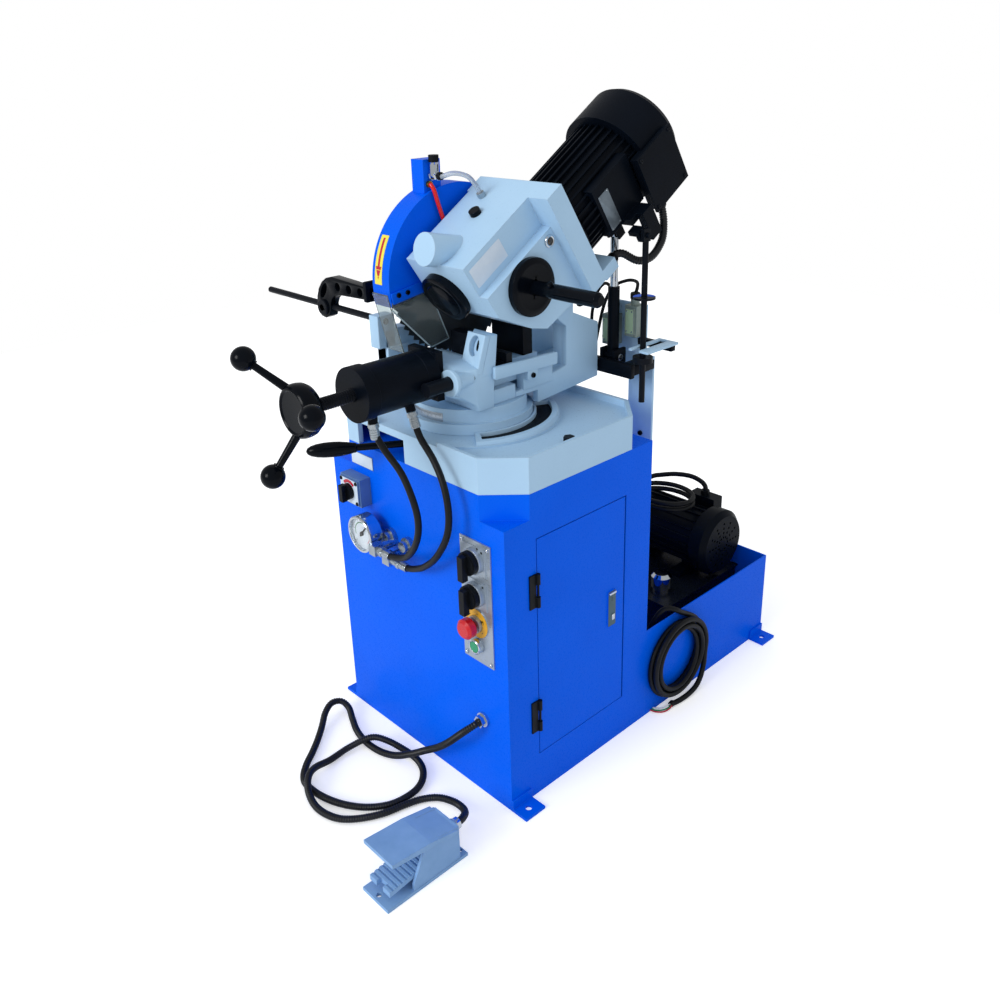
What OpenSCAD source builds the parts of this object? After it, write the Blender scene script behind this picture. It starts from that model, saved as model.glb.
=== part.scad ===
// Cold saw with swivelling turret, hydraulic vise, tilting head and foot pedal
// Units are millimetres. Origin is the centre of the floor bolt pattern, +X right, +Y rear, +Z up.

/* [Base] */
// width of the cabinet and tray
base_w = 520; // [500:5:540]
// length of the base, front to rear
base_l = 880; // [860:5:900]
// depth of the cabinet
cab_d = 410; // [400:5:420]
// height of the cabinet
cab_h = 665; // [640:5:690]
// height of the rear tray
tray_h = 220; // [200:5:235]
// sheet thickness
sheet_t = 3; // [2:0.5:4]
// size of the cut front corners
corner_cut = 64; // [55:1:72]
// height of the cut front corners
corner_drop = 51; // [40:1:60]
// how far the feet stand out
foot_out = 40; // [36:1:46]
// diameter of the floor bolt holes
anchor_d = 14; // [12:0.5:16]
// height of the table casting
table_h = 70; // [60:1:80]
// width of the table rim
rim_w = 8; // [6:0.5:12]

/* [Door and front] */
// width of the door opening
door_w = 254; // [235:1:262]
// height of the door opening
door_h = 478; // [440:2:490]
// height of the opening above the floor
door_z = 94; // [85:1:110]
// width of the control panel
panel_w = 82; // [76:1:90]
// height of the control panel
panel_h = 258; // [250:1:270]
// diameter of the selector knobs
knob_d = 46; // [38:1:50]
// diameter of the emergency stop
stop_d = 40; // [32:1:46]
// diameter of the start button
start_d = 22; // [16:0.5:23]
// width of the switch box
box_w = 66; // [60:1:72]
// diameter of the pressure gauge
gauge_d = 78; // [70:1:84]
// outer diameter of the clamp hoses
hose_d = 13; // [11:0.5:15]

/* [Turret] */
// radius of the turntable flange
disc_r = 124; // [118:1:127]
// radius of the turntable top
disc_top_r = 113; // [105:1:116]
// radius of the turntable spigot
spigot_r = 40; // [34:1:46]
// radius of the raised pad
pad_r = 178; // [172:1:184]
// inner radius of the arc slot
slot_in_r = 131; // [129:0.5:136]
// outer radius of the arc slot
slot_out_r = 162; // [156:1:166]
// radius of the head pivot shaft
pivot_r = 13.5; // [11:0.5:15]
// radius of the pivot lugs
lug_r = 24; // [21:0.5:25]

/* [Vise] */
// diameter of the clamp cylinder
cyl_d = 100; // [88:1:101]
// radius of the clamp screw
screw_r = 12; // [10:0.5:13]
// radius of the jaw guide rod
guide_r = 13; // [10:0.5:13]
// height of the jaw plates
jaw_h = 58; // [45:1:62]
// thickness of the front jaw
jaw_t = 28; // [22:1:30]
// radius of the handwheel hub
hub_r = 47; // [40:1:50]
// radius of the circle through the balls
ball_circle_r = 117; // [108:1:125]
// diameter of the balls
ball_d = 42; // [36:1:46]
// diameter of the length stop rod
stop_rod_d = 13; // [10:0.5:15]

/* [Head] */
// blade diameter
blade_d = 315; // [300:5:318]
// blade thickness
blade_t = 2.5; // [2:0.1:3.5]
// outer radius of the blade guard
guard_r = 170; // [168:0.5:174]
// tilt of the motor axis
tilt = 33.2; // [32.5:0.1:34]
// radius of the motor frame
motor_r = 80; // [74:1:82]
// radius of the fan cowl
cowl_r = 101; // [94:1:104]
// radius of the worm wheel
wheel_r = 33; // [28:0.5:33.2]
// radius of the worm
worm_r = 12.5; // [9:0.5:12.6]
// radius of the motor pinion
pinion_r = 22; // [18:0.5:22.2]
// radius of the worm shaft gear
gear_r = 40; // [34:0.5:40.2]
// diameter of the grip bar
grip_d = 27; // [22:1:30]

/* [Tray and floor] */
// radius of the pump motor
pump_r = 72; // [66:1:74]
// radius of the pump motor cowl
pump_cowl_r = 83; // [77:1:86]
// diameter of the power cable
cable_d = 12; // [10:0.5:12.5]
// diameter of the foot conduit
conduit_d = 15; // [13:0.5:15.5]
// width of the pedal
pedal_w = 74; // [70:1:80]
// length of the pedal base
pedal_l = 185; // [180:1:195]

/* [Hidden] */
$fn = 96;

hx = base_w / 2;
hy = base_l / 2;
cab_back = -hy + cab_d;
cut_z = cab_h - corner_drop;
table_z = cab_h + table_h;
disc_top = table_z + 39;
turn_y = -hy + 160;
bolt_x = hx - 20;
bolt_y = turn_y + 28;
door_top = door_z + door_h * cab_h / 665;
lift = disc_top - 774;
shift = turn_y + 280;
spin_y = -254.9 + shift;
spin_z = 997.5 + lift;
piv_y = -112 + shift;
piv_z = 932 + lift;
blade_x = -60;
piv_u = (piv_y - spin_y) * cos(tilt) + (piv_z - spin_z) * sin(tilt);
piv_v = (piv_z - spin_z) * cos(tilt) - (piv_y - spin_y) * sin(tilt);
cyl_x = 32;
cyl_z = 847;
guide_x = 94;
worm_x = 37;
worm_v = 46;
rotor_x = 73;
rotor_v = -5;
pump_y = 346;
pump_z = 263;
panel_x = 184;
panel_z = 443;
face_y = -hy;

blue = [0.05, 0.16, 0.42];
pale = [0.80, 0.83, 0.84];
dark = [0.05, 0.05, 0.055];
steel = [0.70, 0.71, 0.72];

// Smooth curve through hand chosen points
function bend(a, b, c, d, t) = 0.5 * ((2 * b) + (c - a) * t + (2 * a - 5 * b + 4 * c - d) * t * t
    + (3 * b - a - 3 * c + d) * t * t * t);
function curve(p, n) = concat([for (i = [0 : len(p) - 2], k = [0 : n - 1])
    bend(p[max(i - 1, 0)], p[i], p[i + 1], p[min(i + 2, len(p) - 1)], k / n)], [p[len(p) - 1]]);
function unit(v) = v / norm(v);
function heading(p, i) = unit(p[min(i + 1, len(p) - 1)] - p[max(i - 1, 0)]);
function flat_to(n, t) = unit(n - (n * t) * t);
// Side directions carried along the curve without twisting
function sides(p, n0) = [for (i = 0, n = flat_to(n0, heading(p, 0)); i < len(p);
    i = i + 1, n = i < len(p) ? flat_to(n, heading(p, i)) : n) n];
function ring_points(p, r, s, n0) = let (d = sides(p, n0)) [for (i = [0 : len(p) - 1], k = [0 : s - 1])
    let (t = heading(p, i), b = cross(t, d[i]))
    p[i] + r[i] * (cos(360 * k / s) * d[i] + sin(360 * k / s) * b)];
function skin(m, s, o, f) = [for (i = [0 : m - 2], k = [0 : s - 1], h = [0, 1])
    let (a = o + i * s + k, b = o + i * s + (k + 1) % s, c = a + s, d = b + s)
    f ? (h == 0 ? [a, c, b] : [b, c, d]) : (h == 0 ? [a, b, c] : [b, d, c])];
function fan(s, o, f) = [for (k = [1 : s - 2]) f ? [o, o + k, o + k + 1] : [o, o + k + 1, o + k]];
function rim(s, o, q, f) = [for (k = [0 : s - 1], h = [0, 1])
    let (a = o + k, b = o + (k + 1) % s, c = q + k, d = q + (k + 1) % s)
    f ? (h == 0 ? [a, b, c] : [b, d, c]) : (h == 0 ? [a, c, b] : [b, c, d])];
function same(p, r) = [for (i = p) r];

module tube(p, r, s, n0) {
    m = len(p);
    polyhedron(points = ring_points(p, same(p, r), s, n0),
        faces = concat(skin(m, s, 0, true), fan(s, 0, true), fan(s, (m - 1) * s, false)));
}

// Ribbed hose with a bore: one list of outer rings, one of bore rings
module ribbed(p, r, q, bore, s, n0) {
    m = len(p);
    w = len(q);
    polyhedron(points = concat(ring_points(p, r, s, n0), ring_points(q, same(q, bore), s, n0)),
        faces = concat(skin(m, s, 0, true), skin(w, s, m * s, false),
            rim(s, 0, m * s, true), rim(s, (m - 1) * s, (m + w - 1) * s, false)));
}

module bx(x0, x1, y0, y1, z0, z1) {
    translate([x0, y0, z0]) cube([x1 - x0, y1 - y0, z1 - z0]);
}

module rod_x(x0, x1, y, z, r) {
    translate([x0, y, z]) rotate([0, 90, 0]) cylinder(r = r, h = x1 - x0);
}

module rod_y(x, y0, y1, z, r) {
    translate([x, y0, z]) rotate([-90, 0, 0]) cylinder(r = r, h = y1 - y0);
}

module rod_z(x, y, z0, z1, r) {
    translate([x, y, z0]) cylinder(r = r, h = z1 - z0);
}

module hex_z(x, y, z0, z1, d) {
    translate([x, y, z0]) cylinder(d = d, h = z1 - z0, $fn = 6);
}

module turret() {
    translate([0, shift, lift]) children();
}

module head() {
    translate([0, spin_y, spin_z]) rotate([tilt, 0, 0]) children();
}

// Side outline drawn in the plane of tilt, pushed out along X
module side_x(x0, x1, outline) {
    translate([x0, 0, 0]) rotate([90, 0, 90]) linear_extrude(height = x1 - x0) polygon(outline);
}

module plan_octagon(x, y0, y1, c, rear) {
    polygon([[-x + c, y0], [x - c, y0], [x, y0 + c], [x, y1 - rear], [x - rear, y1], [-x + rear, y1],
        [-x, y1 - rear], [-x, y0 + c]]);
}

module cabinet() {
    t = sheet_t;
    color(blue) difference() {
        union() {
            bx(-hx, hx, -hy, cab_back, 0, cut_z);
            translate([0, 0, cut_z]) linear_extrude(height = corner_drop)
                plan_octagon(hx, -hy, cab_back, corner_cut, 0.001);
        }
        bx(-hx + t, hx - t, -hy + t, cab_back - t, t, cut_z - t);
        translate([0, 0, cut_z - t - 1]) linear_extrude(height = corner_drop + 1)
            plan_octagon(hx - t, -hy + t, cab_back - t, corner_cut, 0.001);
        bx(hx - t - 1, hx + 1, door_y0, door_y0 + door_w, door_z, door_top);
        bx(panel_x - panel_w / 2 + 12, panel_x + panel_w / 2 - 12, -hy - 1, -hy + t + 1,
            panel_z - panel_h / 2 + 12, panel_z + panel_h / 2 - 12);
        bx(-60, 60, cab_back - t - 1, cab_back + 1, 420, 470);
    }
}

door_y0 = -362 + (440 - hy);

module rear_tray() {
    t = sheet_t;
    color(blue) difference() {
        bx(-hx, hx, cab_back, hy, 0, tray_h);
        bx(-hx + t, hx - t, cab_back - 1, hy - t, t, tray_h + 1);
    }
}

module anchor_feet() {
    color(blue) for (sx = [-1, 1], sy = [-1, 1]) difference() {
        union() {
            bx(sx > 0 ? hx : -hx - foot_out, sx > 0 ? hx + foot_out : -hx,
                sy > 0 ? hy - 52 : -hy, sy > 0 ? hy : -hy + 52, 0, 6);
            bx(sx > 0 ? hx : -hx - 4, sx > 0 ? hx + 4 : -hx,
                sy > 0 ? hy - 52 : -hy, sy > 0 ? hy : -hy + 52, 6, 26);
        }
        rod_z(sx * (hx + foot_out / 2), sy * (hy - 26), -1, 7, anchor_d / 2);
    }
}

module door() {
    color(blue) {
        difference() {
            bx(hx - 2.5, hx, door_y0 + 2, door_y0 + door_w - 4, door_z + 2, door_top - 2);
            bx(hx - 3, hx + 1, door_y0 + door_w - 53, door_y0 + door_w - 31, door_z + 200, door_z + 280);
        }
        bx(hx - 14, hx - 2.5, door_y0 + 22, door_y0 + 25, door_z + 22, door_top - 22);
    }
    color(steel) difference() {
        bx(hx - 6, hx + 2.5, door_y0 + door_w - 53, door_y0 + door_w - 31, door_z + 200, door_z + 280);
        bx(hx - 1, hx + 3, door_y0 + door_w - 49, door_y0 + door_w - 35, door_z + 206, door_z + 250);
    }
}

module door_hinges() {
    color(dark) for (z = [door_z + 60, door_z + 338]) {
        bx(hx, hx + 3, door_y0 - 20, door_y0 - 4, z, z + 70);
        rod_z(hx + 4.5, door_y0, z, z + 22, 4.2);
        rod_z(hx + 4.5, door_y0, z + 48, z + 70, 4.2);
        bx(hx + 1, hx + 4, door_y0 - 6, door_y0 - 2, z, z + 22);
        bx(hx + 1, hx + 4, door_y0 - 6, door_y0 - 2, z + 48, z + 70);
        rod_z(hx + 4.5, door_y0, z + 20, z + 50, 2);
    }
}

module table_casting() {
    z0 = cab_h;
    color(pale) difference() {
        union() {
            translate([0, 0, z0]) linear_extrude(height = table_h)
                plan_octagon(hx, -hy, cab_back, corner_cut, corner_cut);
        }
        difference() {
            translate([0, 0, table_z - 14]) linear_extrude(height = 20)
                plan_octagon(hx - rim_w, -hy + rim_w, cab_back - rim_w, corner_cut - 4, corner_cut - 4);
            rod_z(0, turn_y, table_z - 15, table_z - 8.2, pad_r);
        }
        difference() {
            translate([0, 0, z0 - 1]) linear_extrude(height = table_h - 29)
                plan_octagon(hx - 11, -hy + 11, cab_back - 11, corner_cut - 4, corner_cut - 4);
            rod_z(0, turn_y, z0 + 14, z0 + 50, spigot_r + 16);
            rod_z(-30, -hy + 35, z0 + 16, z0 + 50, 8);
        }
        rod_z(0, turn_y, z0 - 1, table_z + 1, spigot_r + 0.05);
        bx(-160, -12, -hy - 1, -hy + 12, z0 - 1, z0 + 47);
        rod_z(0, turn_y, table_z - 8.2, table_z + 1, pad_r + 4);
        translate([0, turn_y, table_z - 20]) arc_sector(slot_in_r, slot_out_r, -34, 62, 20);
        for (sx = [-1, 1]) rod_z(sx * bolt_x, bolt_y, z0 - 1, table_z, 6);
    }
}

// Part of a ring between two angles
module arc_sector(r0, r1, a0, a1, h) {
    n = 24;
    linear_extrude(height = h) polygon(concat(
        [for (i = [0 : n]) r1 * [cos(a0 + (a1 - a0) * i / n), sin(a0 + (a1 - a0) * i / n)]],
        [for (i = [n : -1 : 0]) r0 * [cos(a0 + (a1 - a0) * i / n), sin(a0 + (a1 - a0) * i / n)]]));
}

module table_bolts() {
    color(dark) for (sx = [-1, 1]) {
        hex_z(sx * bolt_x, bolt_y, table_z - 14, table_z - 2, 22);
        rod_z(sx * bolt_x, bolt_y, cab_h + 20, table_z - 14, 5.9);
    }
}

module control_panel() {
    y0 = face_y;
    color(steel) difference() {
        union() {
            bx(panel_x - panel_w / 2, panel_x + panel_w / 2, y0 - 3, y0, panel_z - panel_h / 2,
                panel_z + panel_h / 2);
            for (z = [533, 463]) {
                bx(panel_x - 29, panel_x + 29, y0 - 5, y0 - 3, z - 29, z + 29);
                rod_y(panel_x, y0 - 15, y0 - 5, z, 25);
            }
            rod_y(panel_x, y0 - 5, y0 - 3, 400, 30);
            rod_y(panel_x, y0 - 14, y0 - 5, 400, 17);
            rod_y(panel_x, y0 - 13, y0 - 3, 352, 15);
            for (sx = [-1, 1], z = [-1, 1]) rod_y(panel_x + sx * (panel_w / 2 - 7), y0 - 5, y0 - 3,
                panel_z + z * (panel_h / 2 - 8), 4);
            for (z = [533, 463, 400, 352]) rod_y(panel_x, y0, y0 + 40, z, 14);
        }
        rod_y(panel_x, y0 - 20, y0 + 30, 400, 8.4);
        rod_y(panel_x, y0 - 20, y0 + 20, 352, start_d / 2 + 0.4);
        for (z = [533, 463]) rod_y(panel_x, y0 - 20, y0 + 10, z, 5.05);
    }
}

// Rotary knob with a pointer tail, axis along Y
module rotary(x, y, z, d, shaft) {
    rod_y(x, y - 10, y, z, d / 2);
    rod_y(x, y - 12, y - 10, z, d / 2 - 2);
    bx(x - 7, x + 7, y - 25, y - 12, z - d / 2 - 8, z + d / 2 - 4);
    rod_y(x, y, y + shaft, z, 5);
}

module selector_upper() {
    color(dark) rotary(panel_x, face_y - 15.5, 533, knob_d, 20);
}

module selector_lower() {
    color(dark) rotary(panel_x, face_y - 15.5, 463, knob_d, 20);
}

module stop_button() {
    color([0.72, 0.05, 0.04]) {
        rod_y(panel_x, face_y - 36, face_y - 23, 400, stop_d / 2);
        translate([panel_x, face_y - 36, 400]) rotate([90, 0, 0])
            cylinder(r1 = stop_d / 2, r2 = stop_d / 2 - 5, h = 5);
        rod_y(panel_x, face_y - 23, face_y + 18, 400, 8);
    }
}

module start_button() {
    color([0.05, 0.45, 0.16]) rod_y(panel_x, face_y - 15, face_y + 12, 352, start_d / 2);
}

module switch_box() {
    y0 = face_y;
    color([0.55, 0.62, 0.70]) difference() {
        union() {
            bx(-166 - box_w / 2, -166 + box_w / 2, y0 - 26, y0, 539, 599);
            bx(-166 - box_w / 2 + 3, -166 + box_w / 2 - 3, y0 - 30, y0 - 26, 542, 596);
        }
        rod_y(-166, y0 - 32, y0 - 12, 569, 5.05);
    }
    color(steel) bx(-190, -118, y0 - 1.2, y0, 617, 645);
}

module switch_knob() {
    color(dark) {
        rod_y(-166, face_y - 40, face_y - 30.5, 569, 17);
        bx(-172, -160, face_y - 52, face_y - 40, 551, 587);
        rod_y(-166, face_y - 30.5, face_y - 14, 569, 5);
    }
}

module gauge_case() {
    y0 = face_y;
    color(steel) difference() {
        union() {
            rod_y(-112, y0 - 49, y0 - 22, 496, gauge_d / 2);
            rod_y(-112, y0 - 22, y0, 496, 14);
        }
        rod_y(-112, y0 - 50, y0 - 43, 496, gauge_d / 2 - 4);
    }
}

module gauge_pointer() {
    color(dark) {
        translate([-112, face_y - 45.5, 496]) rotate([0, -50, 0]) bx(-9, 25, 0, 1.2, -1.5, 1.5);
        rod_y(-112, face_y - 46.5, face_y - 43.4, 496, 4.5);
    }
}

module front_fittings() {
    y0 = face_y;
    color(steel) {
        for (p = [[-70, 492], [-15, 491]]) {
            rod_y(p[0], y0 - 10, y0, p[1], 16);
            rod_y(p[0], y0 - 20, y0 - 10, p[1], 11);
        }
        rod_y(-61, y0 - 48, y0, 482, 10);
        rod_y(-47, y0 - 28, y0, 458, 10);
        bx(gauge_d / 2 - 110, -51, y0 - 59, y0 - 37, 471, 493);
        bx(-58, -36, y0 - 39, y0 - 17, 447, 469);
        rod_x(-61, -46, y0 - 48, 482, 8.5);
        rod_x(-47, -20, y0 - 28, 458, 8.5);
    }
}

// Clamp hoses from the cylinder to the fittings on the cabinet front
hose_a = [[34, -537, 786.4], [34, -537, 779], [34, -537, 771], [52, -529, 737], [86, -520, 697],
    [114, -518, 645], [110, -510, 596], [82, -500, 544], [36, -489, 500], [-4, -488, 485], [-22, -488, 482],
    [-34, -488, 482], [-45.4, -488, 482]];
hose_b = [[51.6, -464, 791.26], [54.6, -464, 783.85], [57.9, -464, 775.6], [76, -466, 748], [116, -470, 716],
    [146, -475, 677], [161, -480, 629], [154, -482, 582], [118, -480, 527], [72, -474, 487], [34, -469, 466],
    [10, -468, 458], [-4, -468, 458], [-19.4, -468, 458]];

module clamp_hoses() {
    color(dark) {
        tube(curve(hose_a, 3), hose_d / 2, 10, [0, 1, 0]);
        tube(curve(hose_b, 3), hose_d / 2, 10, [0, 1, 0]);
    }
}

module conduit_gland() {
    color(dark) difference() {
        union() {
            rod_y(188, face_y - 6, face_y, 183, 15);
            translate([188, face_y - 6, 183]) rotate([90, 0, 0]) cylinder(d = 25, h = 10, $fn = 6);
        }
        rod_y(188, face_y - 20, face_y - 8, 183, conduit_d / 2 + 0.1);
    }
}

// Foot conduit, shown end to end: from the gland, two turns over the floor, to the pedal
foot_route = [[188, -450, 183], [188, -466, 182], [172, -484, 165], [135, -492, 125], [95, -489, 88],
    [55, -490, 58], [20, -498, 34], [-20, -512, 14], [-60, -524, 9], [-105, -527, 9], [-150, -519, 9],
    [-190, -503, 10], [-222, -490, 16], [-244, -494, 24], [-250, -516, 28], [-238, -542, 22],
    [-214, -568, 12], [-186, -598, 9], [-160, -628, 9], [-138, -656, 9], [-112, -680, 9], [-85, -690, 9],
    [-38, -687, 9], [12, -670, 9], [55, -640, 9], [82, -600, 9], [88, -555, 9], [78, -522, 9],
    [52, -496, 9], [18, -484, 9], [-22, -484, 9], [-62, -499, 20], [-90, -522, 27], [-112, -565, 14],
    [-112, -615, 10], [-102, -658, 22], [-82, -686, 27], [-52, -705, 18], [-12, -711, 9], [35, -700, 9],
    [66, -672, 9], [91, -628, 9], [103, -583, 9], [115, -550, 9], [135, -524, 9], [165, -511, 10],
    [192, -511, 13], [214, -522, 22], [232, -542, 36], [243, -560, 46], [246, -577, 50]];
foot_rings = curve(foot_route, 6);
foot_bore = curve(foot_route, 2);

module foot_conduit() {
    m = len(foot_rings);
    color(dark) ribbed(foot_rings, [for (i = [0 : m - 1]) i < 3 || i > m - 4 ? conduit_d / 2 - 1
        : (i % 2 == 0 ? conduit_d / 2 : conduit_d / 2 - 1.6)], foot_bore, conduit_d / 2 - 3, 8, [0, 0, 1]);
}

pedal_x = 244;

module pedal_base() {
    x0 = pedal_x - pedal_w / 2;
    x1 = pedal_x + pedal_w / 2;
    y1 = -575;
    color([0.50, 0.58, 0.68]) difference() {
        union() {
            bx(x0, x1, y1 - pedal_l, y1, 0, 7);
            bx(x0 + 4, x1 - 4, -662, -590, 7, 78);
            for (x = [x0 + 1, x1 - 7]) side_x(x, x + 6,
                [[-700, 7], [-592, 7], [-592, 78], [-640, 88], [-668, 88], [-700, 20]]);
            side_x(x0 - 6, x1 + 4, [[-745, 93], [-600, 72], [-596, 78], [-660, 92], [-745, 101]]);
            rod_y(246, -590, -577, 50, 13);
        }
        for (p = [[242, -750], [266, -582]]) rod_z(p[0], p[1], -1, 8, 5);
        bx(x0 + 7, x1 - 7, -664, -596, 10, 74);
        rod_y(246, -600, -576, 50, conduit_d / 2 + 0.1);
        rod_x(x0 - 2, x1 + 2, -655, 28, 4);
    }
    color(steel) rod_x(x0 + 1, x1 - 1, -655, 28, 4);
}

module pedal_treadle() {
    x0 = pedal_x - pedal_w / 2 + 8;
    x1 = pedal_x + pedal_w / 2 - 8;
    color([0.42, 0.50, 0.60]) difference() {
        union() {
            side_x(x0, x1, [[-748, 22], [-640, 34], [-640, 46], [-748, 33]]);
            rod_x(x0, x1, -655, 28, 9);
        }
        rod_x(x0 - 1, x1 + 1, -655, 28, 4.05);
        for (i = [0 : 7]) bx(x0 - 1, x1 + 1, -742 + i * 10, -738 + i * 10, 32 + i * 1.15, 60);
        bx(pedal_x - 9, pedal_x + 9, -760, -738, 10, 60);
    }
}

// Power cable: over the rim, down to the coil on the tray wall, then out to the bare ends
coil_x = hx + cable_d / 2 + 1;
coil_y = 70;
coil_z = 112;
coil_r = 100;
coil_step = cable_d + 2.5;
// loops run inward in the first layer and outward again in the second
function loop_point(k) = let (a = 90 - 15 * k, g = k / 24,
    r = g < 2 ? coil_r - coil_step * g : coil_r - coil_step * 2 + coil_step * max(g - 2.5, 0),
    x = coil_x + coil_step * (g < 2 ? 0 : min((g - 2) * 2, 1)))
    [x, coil_y + r * cos(a), coil_z + r * sin(a)];
cable_in = [[225, -29.7, 150], [225, -10, 152], [228, 10, 172], [234, 26, 206], [244, 40, 232],
    [256, 52, 240], [266, 66, 234], [coil_x, 84, 221]];
coil_out = coil_x + coil_step;
cable_out = [[coil_out, 163, 62], [coil_out + 4, 149, 34], [coil_out + 8, 124, 15], [coil_out + 9, 92, 8.5],
    [coil_out + 7, 62, 7], [coil_out + 2, 36, 7]];
cable_route = concat(curve(cable_in, 2), [for (k = [2 : 103]) loop_point(k)], curve(cable_out, 3));

// Least gap of a wound tube to itself, over points more than nine rings apart
function least_gap(p, d) = min([for (i = [0 : len(p) - 10], j = [i + 9 : len(p) - 1]) norm(p[i] - p[j])]) - d;
echo(power_cable_gap = least_gap(cable_route, cable_d));
echo(pump_lead_gap = least_gap(lead_route, lead_d));

module power_cable() {
    color(dark) tube(cable_route, cable_d / 2, 6, [1, 0, 0]);
}

module oil_tank() {
    color([0.16, 0.17, 0.19]) difference() {
        union() {
            bx(-220, 180, 150, 430, sheet_t, 164);
            bx(-224, 184, 146, hy - sheet_t - 1, 164, 168);
        }
        bx(-217, 177, 153, 427, 6, 166);
        rod_z(120, 204, 160, 170, 14);
    }
}

module pump_motor() {
    color(dark) {
        rod_x(-60, 150, pump_y, pump_z, pump_r - 5);
        for (a = [0 : 18 : 342]) translate([0, pump_y, pump_z]) rotate([a, 0, 0])
            bx(-40, 140, -1.5, 1.5, pump_r - 8, pump_r);
        rod_x(-72, -60, pump_y, pump_z, pump_r);
        rod_x(-150, -72, pump_y, pump_z, 42);
        bx(-160, -100, pump_y - 40, pump_y + 40, 168, pump_z - 20);
        for (x = [-30, 90]) bx(x, x + 30, pump_y - 70, pump_y + 70, 168, 182);
        for (x = [-30, 90]) bx(x, x + 30, pump_y - 20, pump_y + 20, 180, pump_z - 60);
        bx(60, 135, pump_y + 40, pump_y + 76, pump_z + 40, pump_z + 84);
        difference() {
            translate([150, pump_y, pump_z]) rotate([0, 90, 0]) union() {
                cylinder(r = pump_cowl_r, h = 32);
                translate([0, 0, 32]) cylinder(r1 = pump_cowl_r, r2 = pump_cowl_r - 12, h = 13);
            }
            rod_x(154, 190, pump_y, pump_z, pump_cowl_r - 14);
            for (r = [18, 30, 42, 54], a = [0 : 30 : 330]) translate([0, pump_y, pump_z])
                rotate([a, 0, 0]) rod_x(189, 196, r, 0, 3.2);
        }
    }
}

module oil_breather() {
    color(steel) {
        rod_z(120, 204, 150, 168, 13.9);
        rod_z(120, 204, 168, 178, 20);
        rod_z(120, 204, 178, 206, 25);
        translate([120, 204, 206]) cylinder(r1 = 25, r2 = 18, h = 8);
    }
}

// Pump lead: out of the cabinet, two loops laid on the motor, into its terminal box
lead_d = 12;
function lead_loop(k) = let (a = 200 - 15 * k)
    [40 + 78 * cos(a), 306 + 62 * sin(a), pump_z + pump_r + 8 + 14.5 * k / 24];
lead_in = [[0, -29.6, 445], [0, -20, 445], [0, -10, 445], [-8, 40, 438], [-26, 110, 412], [-46, 180, 377],
    [-56, 235, 352], [-48, 268, 344]];
lead_out = [[-20, 348, 380], [20, 374, 388], [60, 392, 388], [88, 400, 378], [98, 402, 366], [98, 402, 357],
    [98, 402, 347.6]];
lead_route = concat(curve(lead_in, 2), [for (k = [0 : 50]) lead_loop(k)], curve(lead_out, 3));

module pump_lead() {
    color(dark) tube(lead_route, lead_d / 2, 6, [0, 0, 1]);
}

// Turntable lock: lever swings in the window of the table casting
module lock_lever() {
    z = cab_h + 27;
    color(dark) translate([-30, -hy + 35, z]) difference() {
        union() {
            translate([0, 0, -11]) cylinder(r = 18, h = 22);
            rotate([0, 0, 235.5]) {
                rod_x(0, 120, 0, 0, 7);
                translate([112, 0, 0]) rotate([0, 90, 0]) cylinder(r1 = 9, r2 = 15, h = 40);
                translate([152, 0, 0]) rotate([0, 90, 0]) cylinder(r1 = 15, r2 = 10, h = 50);
            }
        }
        translate([0, 0, -12]) cylinder(r = 8.05, h = 24);
    }
}

module turntable() {
    z0 = table_z - 7.9;
    color(pale) {
        rod_z(0, turn_y, z0, disc_top - 26, disc_r);
        rod_z(0, turn_y, disc_top - 26, disc_top, disc_top_r);
        rod_z(0, turn_y, cab_h + 16, z0, spigot_r);
    }
}

module arm_casting() {
    color(pale) turret() difference() {
        union() {
            side_x(-38, 100, [[-250, 774], [-250, 745], [-10, 760], [-10, 803], [-250, 803]]);
            for (x = [[62, 100], [-38, -8]]) {
                side_x(x[0], x[1], [[-137, 803], [-104, 803], [-10, 803], [-10, 878], [-88, 912], [-88, 932],
                    [-136, 932], [-136, 880]]);
                rod_x(x[0], x[1], -112, 932, lug_r);
            }
        }
        rod_z(0, -280, 700, 774, 125);
        rod_x(-40, 96, -112, 932, pivot_r);
        bx(-22, 84, -230, -24, 740, 788);
    }
}

module pivot_shaft() {
    color(steel) turret() rod_x(-38, 96, -112, 932, pivot_r);
}

module vise_frame() {
    color(pale) turret() difference() {
        union() {
            bx(-132, 104, -397, -250, 774, 803);
            bx(-132, 56, -345, -146, 803, 835);
            bx(56, 104, -317, -146, 803, 825);
            bx(-132, 112, -397, -345, 774, 866);
            bx(58, 104, -345, -280, 803, 898);
            bx(-132, -104, -397, -300, 835, 900);
            bx(-132, -104, -412, -372, 866, 930);
            rod_y(guide_x, -409, -397, 841, 25);
        }
        bx(-98, -35, -414, -140, 818, 940);
        rod_y(cyl_x, -400, -340, cyl_z, screw_r + 0.5);
        rod_y(guide_x, -420, -270, 841, guide_r + 0.05);
        rod_x(-133, -103, -392, 918, stop_rod_d / 2);
        bx(72, 90, -346, -338, 868, 886);
        rod_z(82, -216, 800, 830, 6);
    }
}

module rear_jaw() {
    color(dark) turret() {
        bx(-33, 56, -185, -160, 835, 835 + jaw_h);
        bx(-132, -100, -185, -160, 835, 835 + jaw_h);
    }
}

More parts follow.
